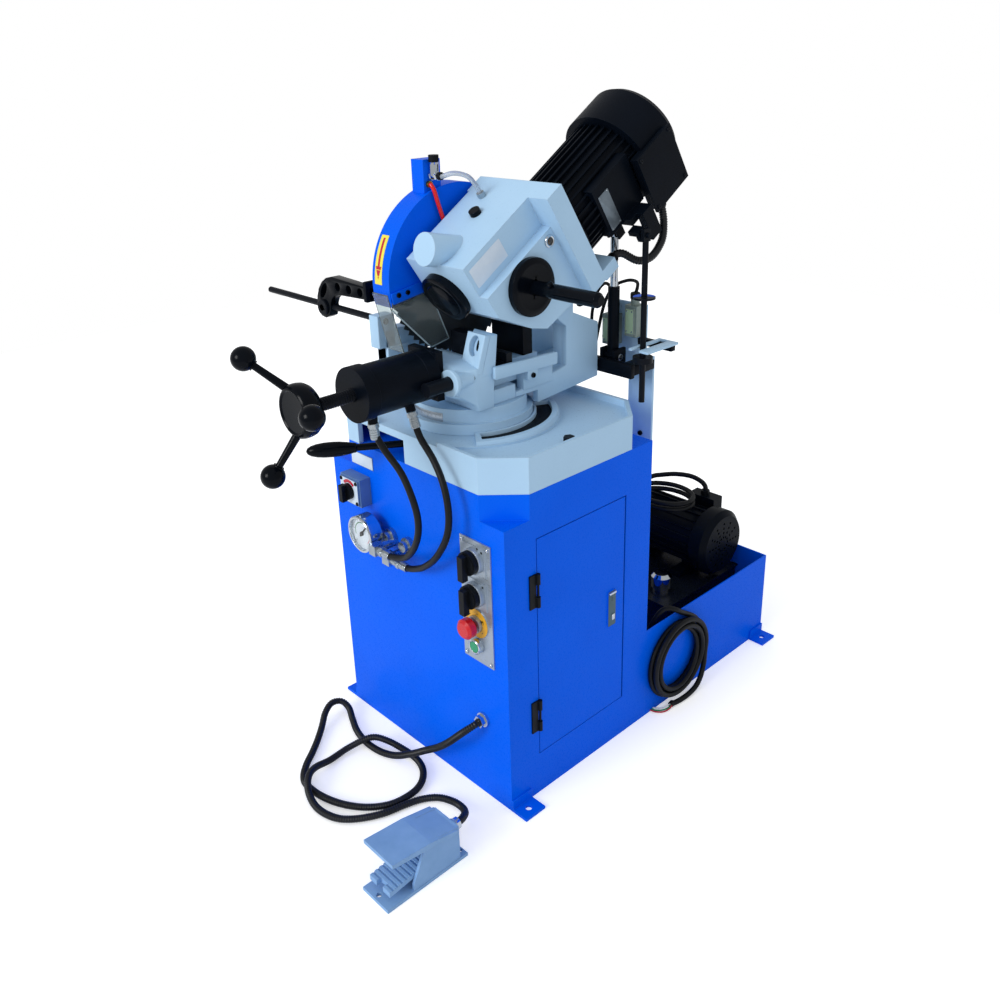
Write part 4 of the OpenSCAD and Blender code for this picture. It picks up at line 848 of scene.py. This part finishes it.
def sectorBlock(inner, outer, low, high, start, end, soft):  # part of a turned ring with closed ends
    bm = bmesh.new()
    profile = [(inner, low), (outer + soft * 2, low), (outer, high - soft), (outer - soft, high),
               (inner, high)]
    face = bm.faces.new([bm.verts.new((r * mm, 0, z * mm)) for r, z in profile])
    bmesh.ops.rotate(bm, verts=bm.verts, cent=(0, 0, 0), matrix=Matrix.Rotation(math.radians(start), 3, "Z"))
    bmesh.ops.spin(bm, geom=[face], cent=(0, 0, 0), axis=(0, 0, 1), angle=math.radians(end - start),
                   steps=max(int((end - start) / 3), 2))
    return bm


def makeSlot(v):
    x, y, z = v["centre"]
    inner = v["inner"]
    outer = v["outer"]
    first = v["start"] - v["past"]
    last = v["end"] + v["past"]
    blocks = {"slotRim": (outer, outer + v["lip"], first, last, 1.2),
              "slotStart": (inner, outer, first, v["start"], 0.0),
              "slotEnd": (inner, outer, v["end"], last, 0.0),
              "slotInner": (inner - v["wall"], inner, first, last, 0.0)}
    for name, (near, far, start, end, soft) in blocks.items():
        keepPiece(sectorBlock(near, far, v["low"], v["high"], start, end, soft), name, "paleEnamel", "base",
                  aim((x, y, z), toTop, toRight))
    # dark arcs in motorBlack: painted shade standing for the slot's dark depth
    for name, (depth, gap, thick) in v["shades"].items():
        shade = arcMark(inner + gap, outer - gap, v["start"] + gap, v["end"] - gap, thick)
        keepPiece(shade, name, "motorBlack", "base", aim((x, y, z + depth), toTop, toRight))


makeSlot(slotParts)

# handwheel: domed hub, three cranked spokes with ball ends, threaded screw
wheelParts = {
    "axis": (32.0, 847.0), "backY": -655.0, "spokes": (134.4, 14.4, -105.6), "ballR": 21.0,
    "ballAt": (117.0, -724.0), "spokeAt": (34.0, -672.0), "crank": 32.0, "screwR": 12.0, "pitch": 5.0,
    "threadEnd": -495.0, "threadStep": 0.7, "threadDepth": 1.5, "threadSlope": 2.2, "crest": 0.5,
    "screwEnd": -286.0, "ballCollar": [(9.6, 0.2), (9.6, 1.6), (8.8, 2.0)],
    "hub": [(13, -5), (24, -4.6), (34, -2), (41, 3), (45.4, 10), (47, 18), (47, 26), (45.6, 32), (42, 36.4),
            (38.6, 38), (36.6, 37), (35, 35.4), (20, 34.8), (2, 34.6)],
    "spoke": [(8.0, 0), (7.6, 14), (6.4, 70), (6.4, 90)],
}


def makeWheel(v):
    x, z = v["axis"]
    y = v["backY"]
    keepPiece(stackRings(v["hub"], 56), "wheelHub", "blackGloss", "wheel", aim((x, y, z), toFront),
              node="handwheel")
    crank = math.radians(v["crank"])
    r = v["ballR"]
    ball = [(a, h - r) for a, h in v["ballCollar"]] + [around(r, t) for t in range(-62, 89, 10)]
    for i, angle in enumerate(v["spokes"]):
        c, s = around(1, angle)
        way = (math.cos(crank) * c, -math.sin(crank), math.cos(crank) * s)
        far, at = v["spokeAt"]
        keepPiece(stackRings(v["spoke"]), "wheelSpoke.%d" % i, "blackGloss", "wheel",
                  aim((x + far * c, at, z + far * s), way), node="handwheel")
        far, at = v["ballAt"]
        keepPiece(stackRings(ball, 36), "wheelBall.%d" % i, "blackGloss", "wheel",
                  aim((x + far * c, at, z + far * s), way), node="handwheel", sharp=40)
    length = v["threadEnd"] - y
    count = int(length / v["threadStep"])
    r = v["screwR"]
    screw = stackRings([(r, length * k / count) for k in range(count + 1)] + [(r, v["screwEnd"] - y)], 28)
    for vert in screw.verts:  # helical thread cut below the screw's own radius
        h = vert.co.z / mm
        if h < length - 1:
            t = (h / v["pitch"] - math.atan2(vert.co.y, vert.co.x) / (2 * math.pi)) % 1.0
            cut = v["threadDepth"] * max(min(v["threadSlope"] * abs(2 * t - 1) - v["crest"], 1.0), 0.0)
            vert.co.x *= 1 - cut / r
            vert.co.y *= 1 - cut / r
    keepPiece(screw, "wheelScrew", "blackOxide", "wheel", aim((x, y, z), toBack), node="handwheel", sharp=60)


makeWheel(wheelParts)

# table lock lever: round boss, thin neck, swelling grip
lockParts = {
    "place": (-30.0, -405.0, 692.0), "turn": 235.5,
    "boss": [(8.2, -11), (16.5, -11), (18, -9.5), (18, 9.5), (16.5, 11), (8.2, 11)],
    "grip": [(7.0, 12), (7.0, 106), (9.4, 108), (9.8, 112), (12.2, 124), (14.2, 138), (15.0, 152),
             (14.6, 168), (13.0, 182), (10.0, 193), (6.0, 199.6), (1.5, 202)],
}


def makeLockLever(v):
    keepPiece(stackRings(v["boss"], 36, True), "lockBoss", "blackGloss", "table_lock", aim(v["place"], toTop),
              node="lock_lever")
    keepPiece(stackRings(v["grip"], 32), "lockGrip", "blackGloss", "table_lock",
              aim(v["place"], around(1, v["turn"]) + (0,)), node="lock_lever", sharp=40)


makeLockLever(lockParts)

# length stop: arched arm with round holes, clamp on the rod, flat end stop
stopParts = {
    "outline": [(-322, 904), (-325, 920), (-323, 936), (-315, 953), (-302, 968), (-286, 978), (-266, 983),
                (-138, 978), (-138, 954), (-244, 949), (-260, 945), (-270, 937), (-276, 926), (-278, 912),
                (-284, 900), (-298, 894), (-312, 896)],
    "holes": [(-297, 951, 19.0, 8.0, 55), (-246, 965, 8.6, 8.6, 0), (-208, 965, 8.6, 8.6, 0),
              (-170, 965, 8.6, 8.6, 0)],
    "backY": -382.0, "thick": 20.0, "soft": 1.2, "clampAt": (-300.0, 916.0),
    "clamp": [(15.5, -6), (16.5, -5), (16.5, 24), (15, 26), (7, 26), (6.4, 24, 6)],
    "faceAt": (-146.0, 971.0), "face": (36, 40, 8, 3, 1),
}


def makeStopArm(v):
    y = v["backY"]
    keepPiece(outlinePlate(v["outline"], v["holes"], v["thick"], v["soft"]), "stopArm", "blackGloss",
              "length_stop", aim((0, y, 0), toFront, toRight), node="stop_arm")
    x, z = v["clampAt"]
    keepPiece(stackRings(v["clamp"], 36), "stopClamp", "blackOxide", "length_stop", aim((x, y, z), toFront),
              node="stop_arm")
    x, z = v["faceAt"]
    keepPiece(roundPlate(*v["face"]), "stopFace", "blackOxide", "length_stop",
              aim((x, y - v["thick"] / 2, z), toRight, toBack), node="stop_arm")


makeStopArm(stopParts)

# vise frame: cast beam with its end cut back, leaning post with a pocket, bed blocks, boss of the guide rod
viseParts = {
    "beam": [(774, [(-35, -352), (90, -352), (104, -352), (108, -350), (108, -313), (-35, -313)]),
             (787, [(-35, -356), (90, -356), (104, -356), (108, -354), (108, -313), (-35, -313)]),
             (809, [(-35, -397), (72, -397), (96, -385), (108, -356), (108, -312), (-35, -312)]),
             (857, [(-35, -397), (72, -397), (96, -385), (108, -354), (108, -308), (-35, -308)]),
             (866, [(-35, -397), (46, -397), (58, -385), (64, -352), (64, -340), (-35, -340)])],
    "post": [(838, [(60, -345), (108.3, -345), (108.3, -307.7), (56, -307.7)]),
             (846, [(60, -341), (108.3, -341), (108.3, -307.7), (56, -307.7)]),
             (912, [(60, -318), (108.3, -318), (108.3, -300), (44, -300)])],
    "face": [(60, -2), (108.3, -2), (108.3, 70), (60, 70)], "faceAt": (0.0, -341.5, 846.0),
    "faceUp": (0.0, 23.0, 67.0), "faceThick": 12.0, "pocket": (84.0, 46.0, 12.5, 19.0, 0),
    "holeAt": (87.0, 48.0), "holeShade": (15.0, 24.0, 0.4, 7.4, 0.1),
    "blocks": [(-98, -35, -397, -345, 786, 818), (-132, -98, -397, -345, 786, 866),
               (-132, 100, -340, -250, 774.2, 803), (-132, -98, -345, -146, 803, 835),
               (-98, -35, -345, -146, 803, 818), (-35, 56, -345, -146, 803, 835),
               (56, 84, -317, -146, 803, 825), (84, 104, -232, -152, 785, 825),
               (-132, -104, -397, -300, 835, 900), (-132, -104, -412, -372, 866, 930)],
    "beamSoft": 2.5, "postSoft": 2.0, "bedSoft": 1.6,
    "bossAt": (94.0, -360.0, 841.0), "bore": [(12.6, 37), (12.6, 38), (4, 38)],
    "boss": [(13.2, 0), (14.5, 0), (16, 25), (22, 38), (25, 41), (25, 47.5), (23.5, 49), (13.2, 49)],
}


def makeVise(v):
    rise = Vector(v["faceUp"]).normalized()
    lean = Vector(toRight).cross(rise)
    boss = aim(v["bossAt"], toFront)
    castings = {
        "viseBeam": (loftRings(v["beam"], v["beamSoft"]), None),
        "visePost": (loftRings(v["post"], v["postSoft"]), None),
        "visePostFace": (outlinePlate(v["face"], [v["pocket"]], v["faceThick"], v["postSoft"]),
                         aim(v["faceAt"], lean, toRight)),
        "viseBed": (blockSet(v["blocks"], v["bedSoft"]), None),
        "viseBoss": (stackRings(v["boss"], 40, True), boss),
    }
    for name, (bm, place) in castings.items():
        keepPiece(bm, name, "paleEnamel", "turret", place, node="vise_frame")
    # dark plate on the pocket's floor in blackOxide: painted shade standing for the dark of the through hole
    x, along = v["holeAt"]
    floor = Vector(v["faceAt"]) + Vector((x, 0, 0)) + rise * along
    keepPiece(roundPlate(*v["holeShade"]), "visePocketHoleShade", "blackOxide", "turret", aim(floor, lean, toRight))
    # dark disc deep in the boss's bore in blackOxide: painted shade of the bore's depth
    keepPiece(stackRings(v["bore"], 32), "viseBoreShade", "blackOxide", "turret", boss)


makeVise(viseParts)

# arm casting: sloping floor, two cheeks with the pivot lugs, each part from x to x with its side outline
armParts = {
    "parts": [(-38.0, 99.8, [(-250, 774.6), (-14.4, 774.6), (-14.4, 805), (-110, 805), (-179, 793),
                             (-250, 784)]),
              (-38.0, 88.0, [(-152, 776), (-152, 752), (-14.4, 762.4), (-14.4, 776)]),
              (86.0, 100.2, [(-250, 775), (-190, 775), (-190, 749), (-14, 762), (-14, 877), (-88, 910),
                             (-88, 932), (-136, 932), (-136, 908), (-108, 886), (-108, 806), (-179, 794),
                             (-250, 785)]),
              (62.0, 87.0, [(-107.6, 800), (-14.4, 800), (-14.4, 876), (-88, 909), (-88, 932), (-135.6, 932),
                            (-135.6, 908), (-107.6, 886)]),
              (-38.2, -8.0, [(-108, 790), (-14, 790), (-14, 877), (-88, 910), (-88, 932), (-136, 932),
                             (-136, 908), (-108, 886)])],
    "soft": 1.6, "lugs": ((62.0, 100.0), (-38.0, -8.0)), "lugAt": (-112.0, 932.0), "lugR": 24.0,
    "lugSoft": 1.5, "boreR": 13.6,
}


def makeArm(v):
    for i, (x0, x1, outline) in enumerate(v["parts"]):
        bm = outlinePlate(outline, [], x1 - x0, 0)
        soften(bm, bm.edges[:], v["soft"])
        keepPiece(bm, "armCast.%d" % i, "paleEnamel", "turret", aim((x0, 0, 0), toRight, toBack),
                  node="arm_casting")
    r = v["lugR"]
    soft = v["lugSoft"]
    for i, (x0, x1) in enumerate(v["lugs"]):
        long = x1 - x0
        lug = stackRings([(v["boreR"], 0), (r - soft, 0), (r, soft), (r, long - soft), (r - soft, long),
                          (v["boreR"], long)], 40, True)
        keepPiece(lug, "armLug.%d" % i, "paleEnamel", "turret", aim((x0,) + v["lugAt"], toRight),
                  node="arm_casting")


makeArm(armParts)

# pale bar in front of the right jaw, with its bolted ear
barParts = {"barAt": (109.0, -234.0, 838.0), "bar": (166.0, 24.0, 8.0, 4.0, 1.2), "barWay": (0, 1, -0.04),
            "earAt": (104.0, -219.0, 820.0), "ear": (26, 26, 12.4, 4.0, 1.0),
            "boltAt": (116.4, -219.0, 816.0), "bolt": (5.0, 3.6)}


def makeBar(v):
    keepPiece(roundPlate(*v["bar"]), "jawBar", "paleEnamel", "turret", aim(v["barAt"], toRight, v["barWay"]))
    keepPiece(roundPlate(*v["ear"]), "jawBarEars", "paleEnamel", "turret", aim(v["earAt"], toRight, toBack))
    keepPiece(capScrew(*v["bolt"]), "jawBarBolts", "blackOxide", "turret", aim(v["boltAt"], toRight))


makeBar(barParts)

# blade guard: bare yellow plate with a turning arrow, strap over the clear flap
guardParts = {
    "radius": 170.1, "start": 115.6, "end": 146.3, "x": (-84.0, -63.0), "plateThick": 0.4, "inkThick": 0.1,
    "tip": [(-33, -8.5), (-21, -4.4), (-9, 0), (-21, 4.4), (-33, 8.5)],
    "shaftStart": 8, "shaftStep": 6, "shaftSteps": 9, "shaft": (6.02, 6.0),
    "strap": (78.0, 21.0, 2.0, 2.0, 0.5), "strapX": -39.4, "strapMiddle": (-116.8, 57.3),
    "strapWay": (0, 0.914, -0.406), "seat": (76.0, 11.0, 2.6, 1.0, 0.2), "seatX": -42, "seatShift": 4.4,
    "screwX": -37.4, "screws": ((-137.5, 70.5), (-118.9, 60.6)), "screw": (4.6, 3.0),
    "flapX": -40.6, "flapR": 1.5, "flapEdge": [(-84, 34), (-78, 22), (-98, -82), (-140, -64), (-164, 56)],
}


def makeGuardParts(v):
    middle = (v["start"] + v["end"]) / 2
    arc = math.radians(v["end"] - v["start"]) * v["radius"]
    x0, x1 = v["x"]
    place = headAim(((x0 + x1) / 2, 0, 0), toRight, (0,) + around(1, middle))
    tip = bmesh.new()
    tip.faces.new([tip.verts.new(((arc / 2 + a) * mm, b * mm, 0)) for a, b in v["tip"]])
    shaft = [(v["shaftStart"] - arc / 2 + v["shaftStep"] * k, 0) + v["shaft"] + (0,)
             for k in range(v["shaftSteps"])]
    outer = v["radius"] + v["plateThick"]
    wrapped = {
        "arrowPlate": (roundPlate(arc, x1 - x0, v["plateThick"], 1.2, 0.1, 24), v["radius"], "yellowPlate"),
        "arrowShaft": (inkMarks(shaft, v["inkThick"]), outer, "redInk"),
        "arrowTip": (raiseFlat(tip, v["inkThick"], 0), outer, "redInk"),
    }
    for name, (bm, radius, finish) in wrapped.items():
        keepPiece(wrapRound(bm, radius), name, finish, "saw_head", place)
    u, w = v["strapMiddle"]
    along, drop = v["strapWay"][1:]
    seatPlace = (v["seatX"], u - v["seatShift"] * drop, w + v["seatShift"] * along)
    keepPiece(roundPlate(*v["strap"]), "flapStrap", "blueEnamel", "saw_head",
              headAim((v["strapX"], u, w), toRight, v["strapWay"]))
    keepPiece(roundPlate(*v["seat"]), "flapSeat", "blueEnamel", "saw_head",
              headAim(seatPlace, toRight, v["strapWay"]))
    screws = [headAim((v["screwX"], a, b), toRight) for a, b in v["screws"]]
    keepPiece(repeatAt(capScrew(*v["screw"]), screws), "flapScrews", "blackOxide", "saw_head")
    edge = evenPath([Vector(headPlace(v["flapX"], *q)) for q in v["flapEdge"]], 6.0)
    sweepTube("flapEdge", edge, v["flapR"], 8, "sheetEdge", "saw_head")


makeGuardParts(guardParts)

# turned fittings of the coolant block, the gearbox and the grip: finish, steps, closed, then place and way
# on the head and the rings
knobRings = [(5.2, -2), (5.2, 1.0), (6.4, 2.2), (6.4, 5.4), (4.6, 7.0), (1.6, 7.4)]
headTurned = {
    "coolantPlug": ("turnedBrass", 24, False, (-84.0, 58.0, 185.0), (-1, 0, 0),
                    [(8.6, 0, 6), (8.6, 5.2, 6), (7.6, 6.2), (6.6, 6.4), (6.6, 8.6), (5.8, 9.2)]),
    "coolantValve": ("chromePlate", 24, False, (-50.0, 58.0, 185.0), (1, 0, 0),
                     [(9.4, 0, 6), (9.4, 4.6, 6), (8.6, 5.6), (7.4, 6.0), (7.4, 17.0), (8.8, 17.4, 6),
                      (8.8, 21.6, 6), (7.0, 22.2)]),
    "sightRing": ("chromePlate", 36, True, (148.0, 83.0, 34.0), (1, 0, 0),
                  [(7.2, 0.6), (7.6, 3.0), (9.6, 3.6), (11.4, 2.6), (12.2, 0), (7.2, 0)]),
    "sightWindow": ("oilWindow", 36, False, (148.0, 83.0, 34.0), (1, 0, 0),
                    [(7.3, 0), (7.3, 1.0), (3.0, 1.6)]),
    "frontCap": ("blackGloss", 56, False, (37.0, -102.0, 42.0), (0, -1, 0),
                 [(50.1, -3), (50.1, 0.6), (47.1, 3.0), (41.1, 4.0), (39.1, 3.2), (36.1, 3.2), (34.1, 4.4),
                  (16.1, 6.0), (2, 6.4)]),
    "gripDome": ("blackGloss", 56, True, (158, 0, 0), (1, 0, 0),
                 [(53.4, 0), (53.4, 1.0), (50.5, 3.4), (44.0, 4.6), (40.0, 4.2), (24.0, 3.6), (13.6, 3.6),
                  (13.6, 0)]),
    "gripKnobUpper": ("blackGloss", 24, False, (206, 0, 13.4), (0, -0.1, 1), knobRings),
    "gripKnobLower": ("blackGloss", 24, False, (262, 0, -13.4), (0, -0.4, -1), knobRings),
}
headTurnedSlots = {"coolantValve": "bright_steel"}
for name, (finish, steps, closed, place, way, rings) in headTurned.items():
    keepPiece(stackRings(rings, steps, closed), name, finish, "saw_head", headAim(place, way),
              headTurnedSlots.get(name))

# bonnet of the coolant valve, upright when the head is at rest
bonnetParts = {"place": (-40, 58.0, 185.0),
               "rings": [(8.7, 0), (8.7, 20), (9.2, 20.4, 6), (9.2, 23.6, 6), (7.6, 24.2)]}
keepPiece(stackRings(bonnetParts["rings"]), "valveBonnet", "chromePlate", "saw_head",
          aim(headPlace(*bonnetParts["place"]), toTop, toRight), "bright_steel")

# nuts round the tubes and the motor lead: finish, place and way on the head, then the nut's own sizes
headNuts = {
    "tubeCollar": ("blackPlastic", (-27.5, 58.0, 185.0), (1, 0, 0), (4.6, 7.4, 9.0, 12)),
    "redTubeNut": ("turnedBrass", (-50, 44, 176), (1, 0, 0), (4.1, 6.6, 6.0, 6)),
    "redTubeFoot": ("turnedBrass", (-35, 12.5, 46.4), (0, 2.1, 7.9), (4.1, 6.6, 9.0, 6)),
    "clearTubeFoot": ("zincPlate", (18, 89, 117), (0, 0, 1), (4.6, 8.0, 10.0, 6)),
    "leadNutBox": ("blackPlastic", (171, 345, -90.2), (0, 0, -1), (8.3, 12.0, 11.0, 6)),
    "leadNutFoot": ("blackPlastic", (160, 182.2, -100), (0, 1, 0), (8.3, 11.8, 11.0, 6)),
}
for name, (finish, place, way, nut) in headNuts.items():
    keepPiece(nutSleeve(*nut), name, finish, "saw_head", headAim(place, way))

# gearbox: bare plate; motor: bare plate with its rivets, screws of the box lid
gearParts = {
    "label": (85.0, 40.0, 0.6, 2.0, 0.2), "labelAt": (127.0, -37.5, 86.0),
    "plate": (30.0, 78.0, 0.8, 1.5, 0.2), "plateAt": (162.5, 229.0, -15.0),
    "rivets": [(163.2, a, b) for a in (217, 241) for b in (-51, 21)], "rivet": (1.8, 1.2),
    "lidScrews": [(185, a, b) for a in (326, 421) for b in (-86, 21)], "lidScrew": (4.4, 2.8),
}


def makeGearParts(v):
    keepPiece(roundPlate(*v["label"]), "gearLabel", "whitePlate", "saw_head",
              headAim(v["labelAt"], toRight, (0, 1, 0)), "pale_paint")
    keepPiece(roundPlate(*v["plate"]), "motorPlate", "barePlate", "saw_head",
              headAim(v["plateAt"], toRight, (0, 1, 0)))
    rivets = [headAim(place, toRight) for place in v["rivets"]]
    keepPiece(repeatAt(panScrew(*v["rivet"]), rivets), "motorRivets", "zincPlate", "saw_head",
              slot="black_paint")
    screws = [headAim(place, toRight) for place in v["lidScrews"]]
    keepPiece(repeatAt(panScrew(*v["lidScrew"]), screws), "lidScrews", "blackOxide", "saw_head")


makeGearParts(gearParts)

# rear post: black bracket irons, pale column and switch plate, slotted tab for the trip rod
postParts = {
    "blocks": {
        "postIrons": ("motorBlack", 1.4, [(60, 185, -10, 2, 770, 800), (92, 99, 1, 38, 780, 818),
                                          (125, 132, 1, 38, 780, 818), (150, 185, 1, 66, 775, 795),
                                          (150, 236, 52, 66, 824, 838)]),
        "postPlates": ("paleEnamel", 0.8, [(117, 181, 66, 72, 614, 800), (95, 118, 66, 72, 742, 800),
                                           (60, 160, 66, 72, 799, 905)]),
        "postTab": ("paleEnamel", 0.7, [(195, 203, -32, 66, 838, 843), (221, 243, -32, 66, 838, 843),
                                        (202, 222, 60, 66, 838, 843)]),
    },
    "pinAt": (90, 20, 800), "pin": [(6, 0), (7, 1), (7, 43), (6, 44)],
    "bolts": [(153, 66, 625), (153, 66, 760), (128, 66, 890)], "bolt": (5.4, 4.0),
}


def makeRearPost(v):
    for name, (finish, soft, boxes) in v["blocks"].items():
        keepPiece(blockSet(boxes, soft), name, finish, "turret", node="rear_post")
    keepPiece(stackRings(v["pin"]), "postPin", "zincPlate", "turret", aim(v["pinAt"], toRight),
              node="rear_post")
    heads = [aim(place, toFront) for place in v["bolts"]]
    keepPiece(repeatAt(capScrew(*v["bolt"]), heads), "postBolts", "blackOxide", "turret")


makeRearPost(postParts)

# limit switches: face plates, screws and gland nuts
switchFaces = {"left": (82.0, 34.0, 846.0), "right": (142.0, 34.0, 874.0)}
facePlate = {"plate": (19, 50, 0.5, 2.0, 0.15), "screws": (6.5, 21), "screw": (2.0, 1.2), "glandY": 52,
             "glandUp": 44.2, "gland": (3.8, 10.4, 13.0, 6)}
for switchName, (x, y, z) in switchFaces.items():
    keepPiece(roundPlate(*facePlate["plate"]), switchName + "Face", "greenPlate", "turret",
              aim((x, y, z), toFront, toRight))
    corners = fourCorners((x, y - facePlate["plate"][2], z), *facePlate["screws"])
    screws = repeatAt(panScrew(*facePlate["screw"]), corners)
    keepPiece(screws, switchName + "FaceScrews", "zincPlate", "turret")
    keepPiece(nutSleeve(*facePlate["gland"]), switchName + "Gland", "blackPlastic", "turret",
              aim((x, facePlate["glandY"], z + facePlate["glandUp"]), toTop))

# blue paint on the trip rod's dog, laid on the far half only so the dark near half is painted shade
dogPaint = {"place": (212.0, -8.0, 944.0), "litHalf": (6.3, 21.6, 47.0, 227.0, 0.3)}
keepPiece(arcMark(*dogPaint["litHalf"]), "dogPaint", "blueEnamel", "trip",
          aim(dogPaint["place"], toTop, toRight))

# glands where the cords leave the cabinet, the pump box and the foot switch
glandParts = {
    "cableGland": ("blackPlastic", (225, -30, 150), toBack, (6.3, 11.5, 14.0, 6)),
    "pumpGland": ("blackPlastic", (98, 402, 347.1), toTop, (6.3, 11.5, 12.0, 6)),
    "pedalGland": ("chromePlate", (246, -576.8, 50), toBack, (7.8, 12.8, 10.0, 6)),
}
for glandName, (finish, place, way, nut) in glandParts.items():
    keepPiece(nutSleeve(*nut), glandName, finish, "base", aim(place, way), "black_plastic")

# tape over the stripped end of the power cable
tapeParts = {"place": (283.5, 40.5, 7.2), "way": (0.1, -1, 0),
             "rings": [(6.2, -4), (6.8, -4), (6.8, 0), (6.8, 5), (5.44, 8), (4.34, 8)]}
keepPiece(stackRings(tapeParts["rings"], 20, True), "tapeWrap", "blackRubber", "base",
          aim(tapeParts["place"], tapeParts["way"]))
print("small parts made")


# finish of every CAD node that shows
nodeFinish = {
    "blueEnamel": ["cabinet", "rear_tray", "anchor_feet", "door", "blade_guard", "coolant_block"],
    "paleEnamel": ["table_casting", "turntable", "gearbox"],
    "motorBlack": ["pump_motor", "clamp_cylinder", "saw_motor", "fan_cowl", "motor_box", "feed_cylinder"],
    "blackOxide": ["table_bolts", "rear_jaw", "front_jaw", "stop_rod", "trip_rod"],
    "blackGloss": ["bearing_caps"],
    "blackPlastic": ["door_hinges", "selector_upper", "selector_lower", "switch_knob", "gauge_pointer",
                     "valve_knob"],
    "brushedPlate": ["control_panel"],
    "chromePlate": ["gauge_case", "oil_breather", "feed_rod", "conduit_gland"],
    "zincPlate": ["front_fittings"],
    "brightSteel": ["pivot_shaft", "spindle", "worm_shaft", "motor_rotor"],
    "bladeSteel": ["blade"],
    "redCap": ["stop_button"],
    "greenCap": ["start_button"],
    "greyBox": ["switch_box"],
    "pedalPaint": ["pedal_base", "pedal_treadle"],
    "tankPaint": ["oil_tank"],
    "beigeCast": ["limit_switches"],
    "clearSheet": ["clear_shields"],
}
for finishName, members in nodeFinish.items():
    for nodeName in members:
        slots = nodes[nodeName].data.materials
        slots.clear()
        slots.append(materials[finishName])
print("CAD nodes finished,", sum(len(m) for m in nodeFinish.values()))


# plain floor and soft light: glow is what the floor adds where it is seen, mirror the sky in reflections
stageSetup = {"floor": 8.0, "floorColour": "#F4F6F8", "floorRough": 0.7, "sky": 0.76, "mirror": 0.5,
              "sun": 1.55, "sunFrom": (-0.10, -1.0, 0.45), "sunAngle": 25, "glow": 0.4, "white": (1, 1, 1, 1)}


def seenRays(tree):  # the light path, and 1 where the camera looks straight or through something clear
    rays = addNode(tree, "ShaderNodeLightPath").outputs
    seen = addNode(tree, "ShaderNodeMath", {0: rays["Is Camera Ray"], 1: rays["Is Transmission Ray"]},
                   operation="MAXIMUM")
    return rays, seen.outputs[0]


def makeStage(v):
    bm = bmesh.new()
    bmesh.ops.create_grid(bm, x_segments=1, y_segments=1, size=v["floor"] / 2)
    mesh = bpy.data.meshes.new("studioFloor")
    bm.to_mesh(mesh)
    bm.free()
    floor = bpy.data.objects.new("studioFloor", mesh)
    bpy.context.scene.collection.objects.link(floor)
    floor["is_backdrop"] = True
    material = bpy.data.materials.new("floorPaper")
    material.use_nodes = True
    tree = material.node_tree
    tree.nodes.clear()
    rays, seen = seenRays(tree)
    paper = addNode(tree, "ShaderNodeBsdfPrincipled", {
        "Base Color": toLinear(v["floorColour"]), "Roughness": v["floorRough"]})
    glow = addNode(tree, "ShaderNodeMath", {0: seen, 1: v["glow"]}, operation="MULTIPLY")
    lit = addNode(tree, "ShaderNodeEmission", {"Color": v["white"], "Strength": glow.outputs[0]})
    both = addNode(tree, "ShaderNodeAddShader", {0: paper.outputs[0], 1: lit.outputs[0]})
    addNode(tree, "ShaderNodeOutputMaterial", {"Surface": both.outputs[0]})
    mesh.materials.append(material)
    world = bpy.data.worlds.new("studioWorld")
    bpy.context.scene.world = world
    world.use_nodes = True
    tree = world.node_tree
    tree.nodes.clear()
    rays, seen = seenRays(tree)
    plain = addNode(tree, "ShaderNodeMapRange", {"Value": seen, "To Min": v["sky"], "To Max": 1.0})
    level = addNode(tree, "ShaderNodeMath", {0: rays["Is Glossy Ray"], 1: v["mirror"] - v["sky"],
                                             2: plain.outputs["Result"]}, operation="MULTIPLY_ADD")
    light = addNode(tree, "ShaderNodeBackground", {"Color": v["white"], "Strength": level.outputs[0]})
    addNode(tree, "ShaderNodeOutputWorld", {"Surface": light.outputs[0]})
    lamp = bpy.data.lights.new("softSun", "SUN")
    lamp.energy = v["sun"]
    lamp.angle = math.radians(v["sunAngle"])
    sun = bpy.data.objects.new("softSun", lamp)
    sun.rotation_mode = "QUATERNION"
    sun.rotation_quaternion = Vector(v["sunFrom"]).to_track_quat("Z", "Y")
    bpy.context.scene.collection.objects.link(sun)


makeStage(stageSetup)
bpy.context.scene.view_settings.view_transform = "Standard"
print("stage and light set")

size = {"cad": [list(c) for c in cadBox], "visual": [list(c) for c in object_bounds()]}
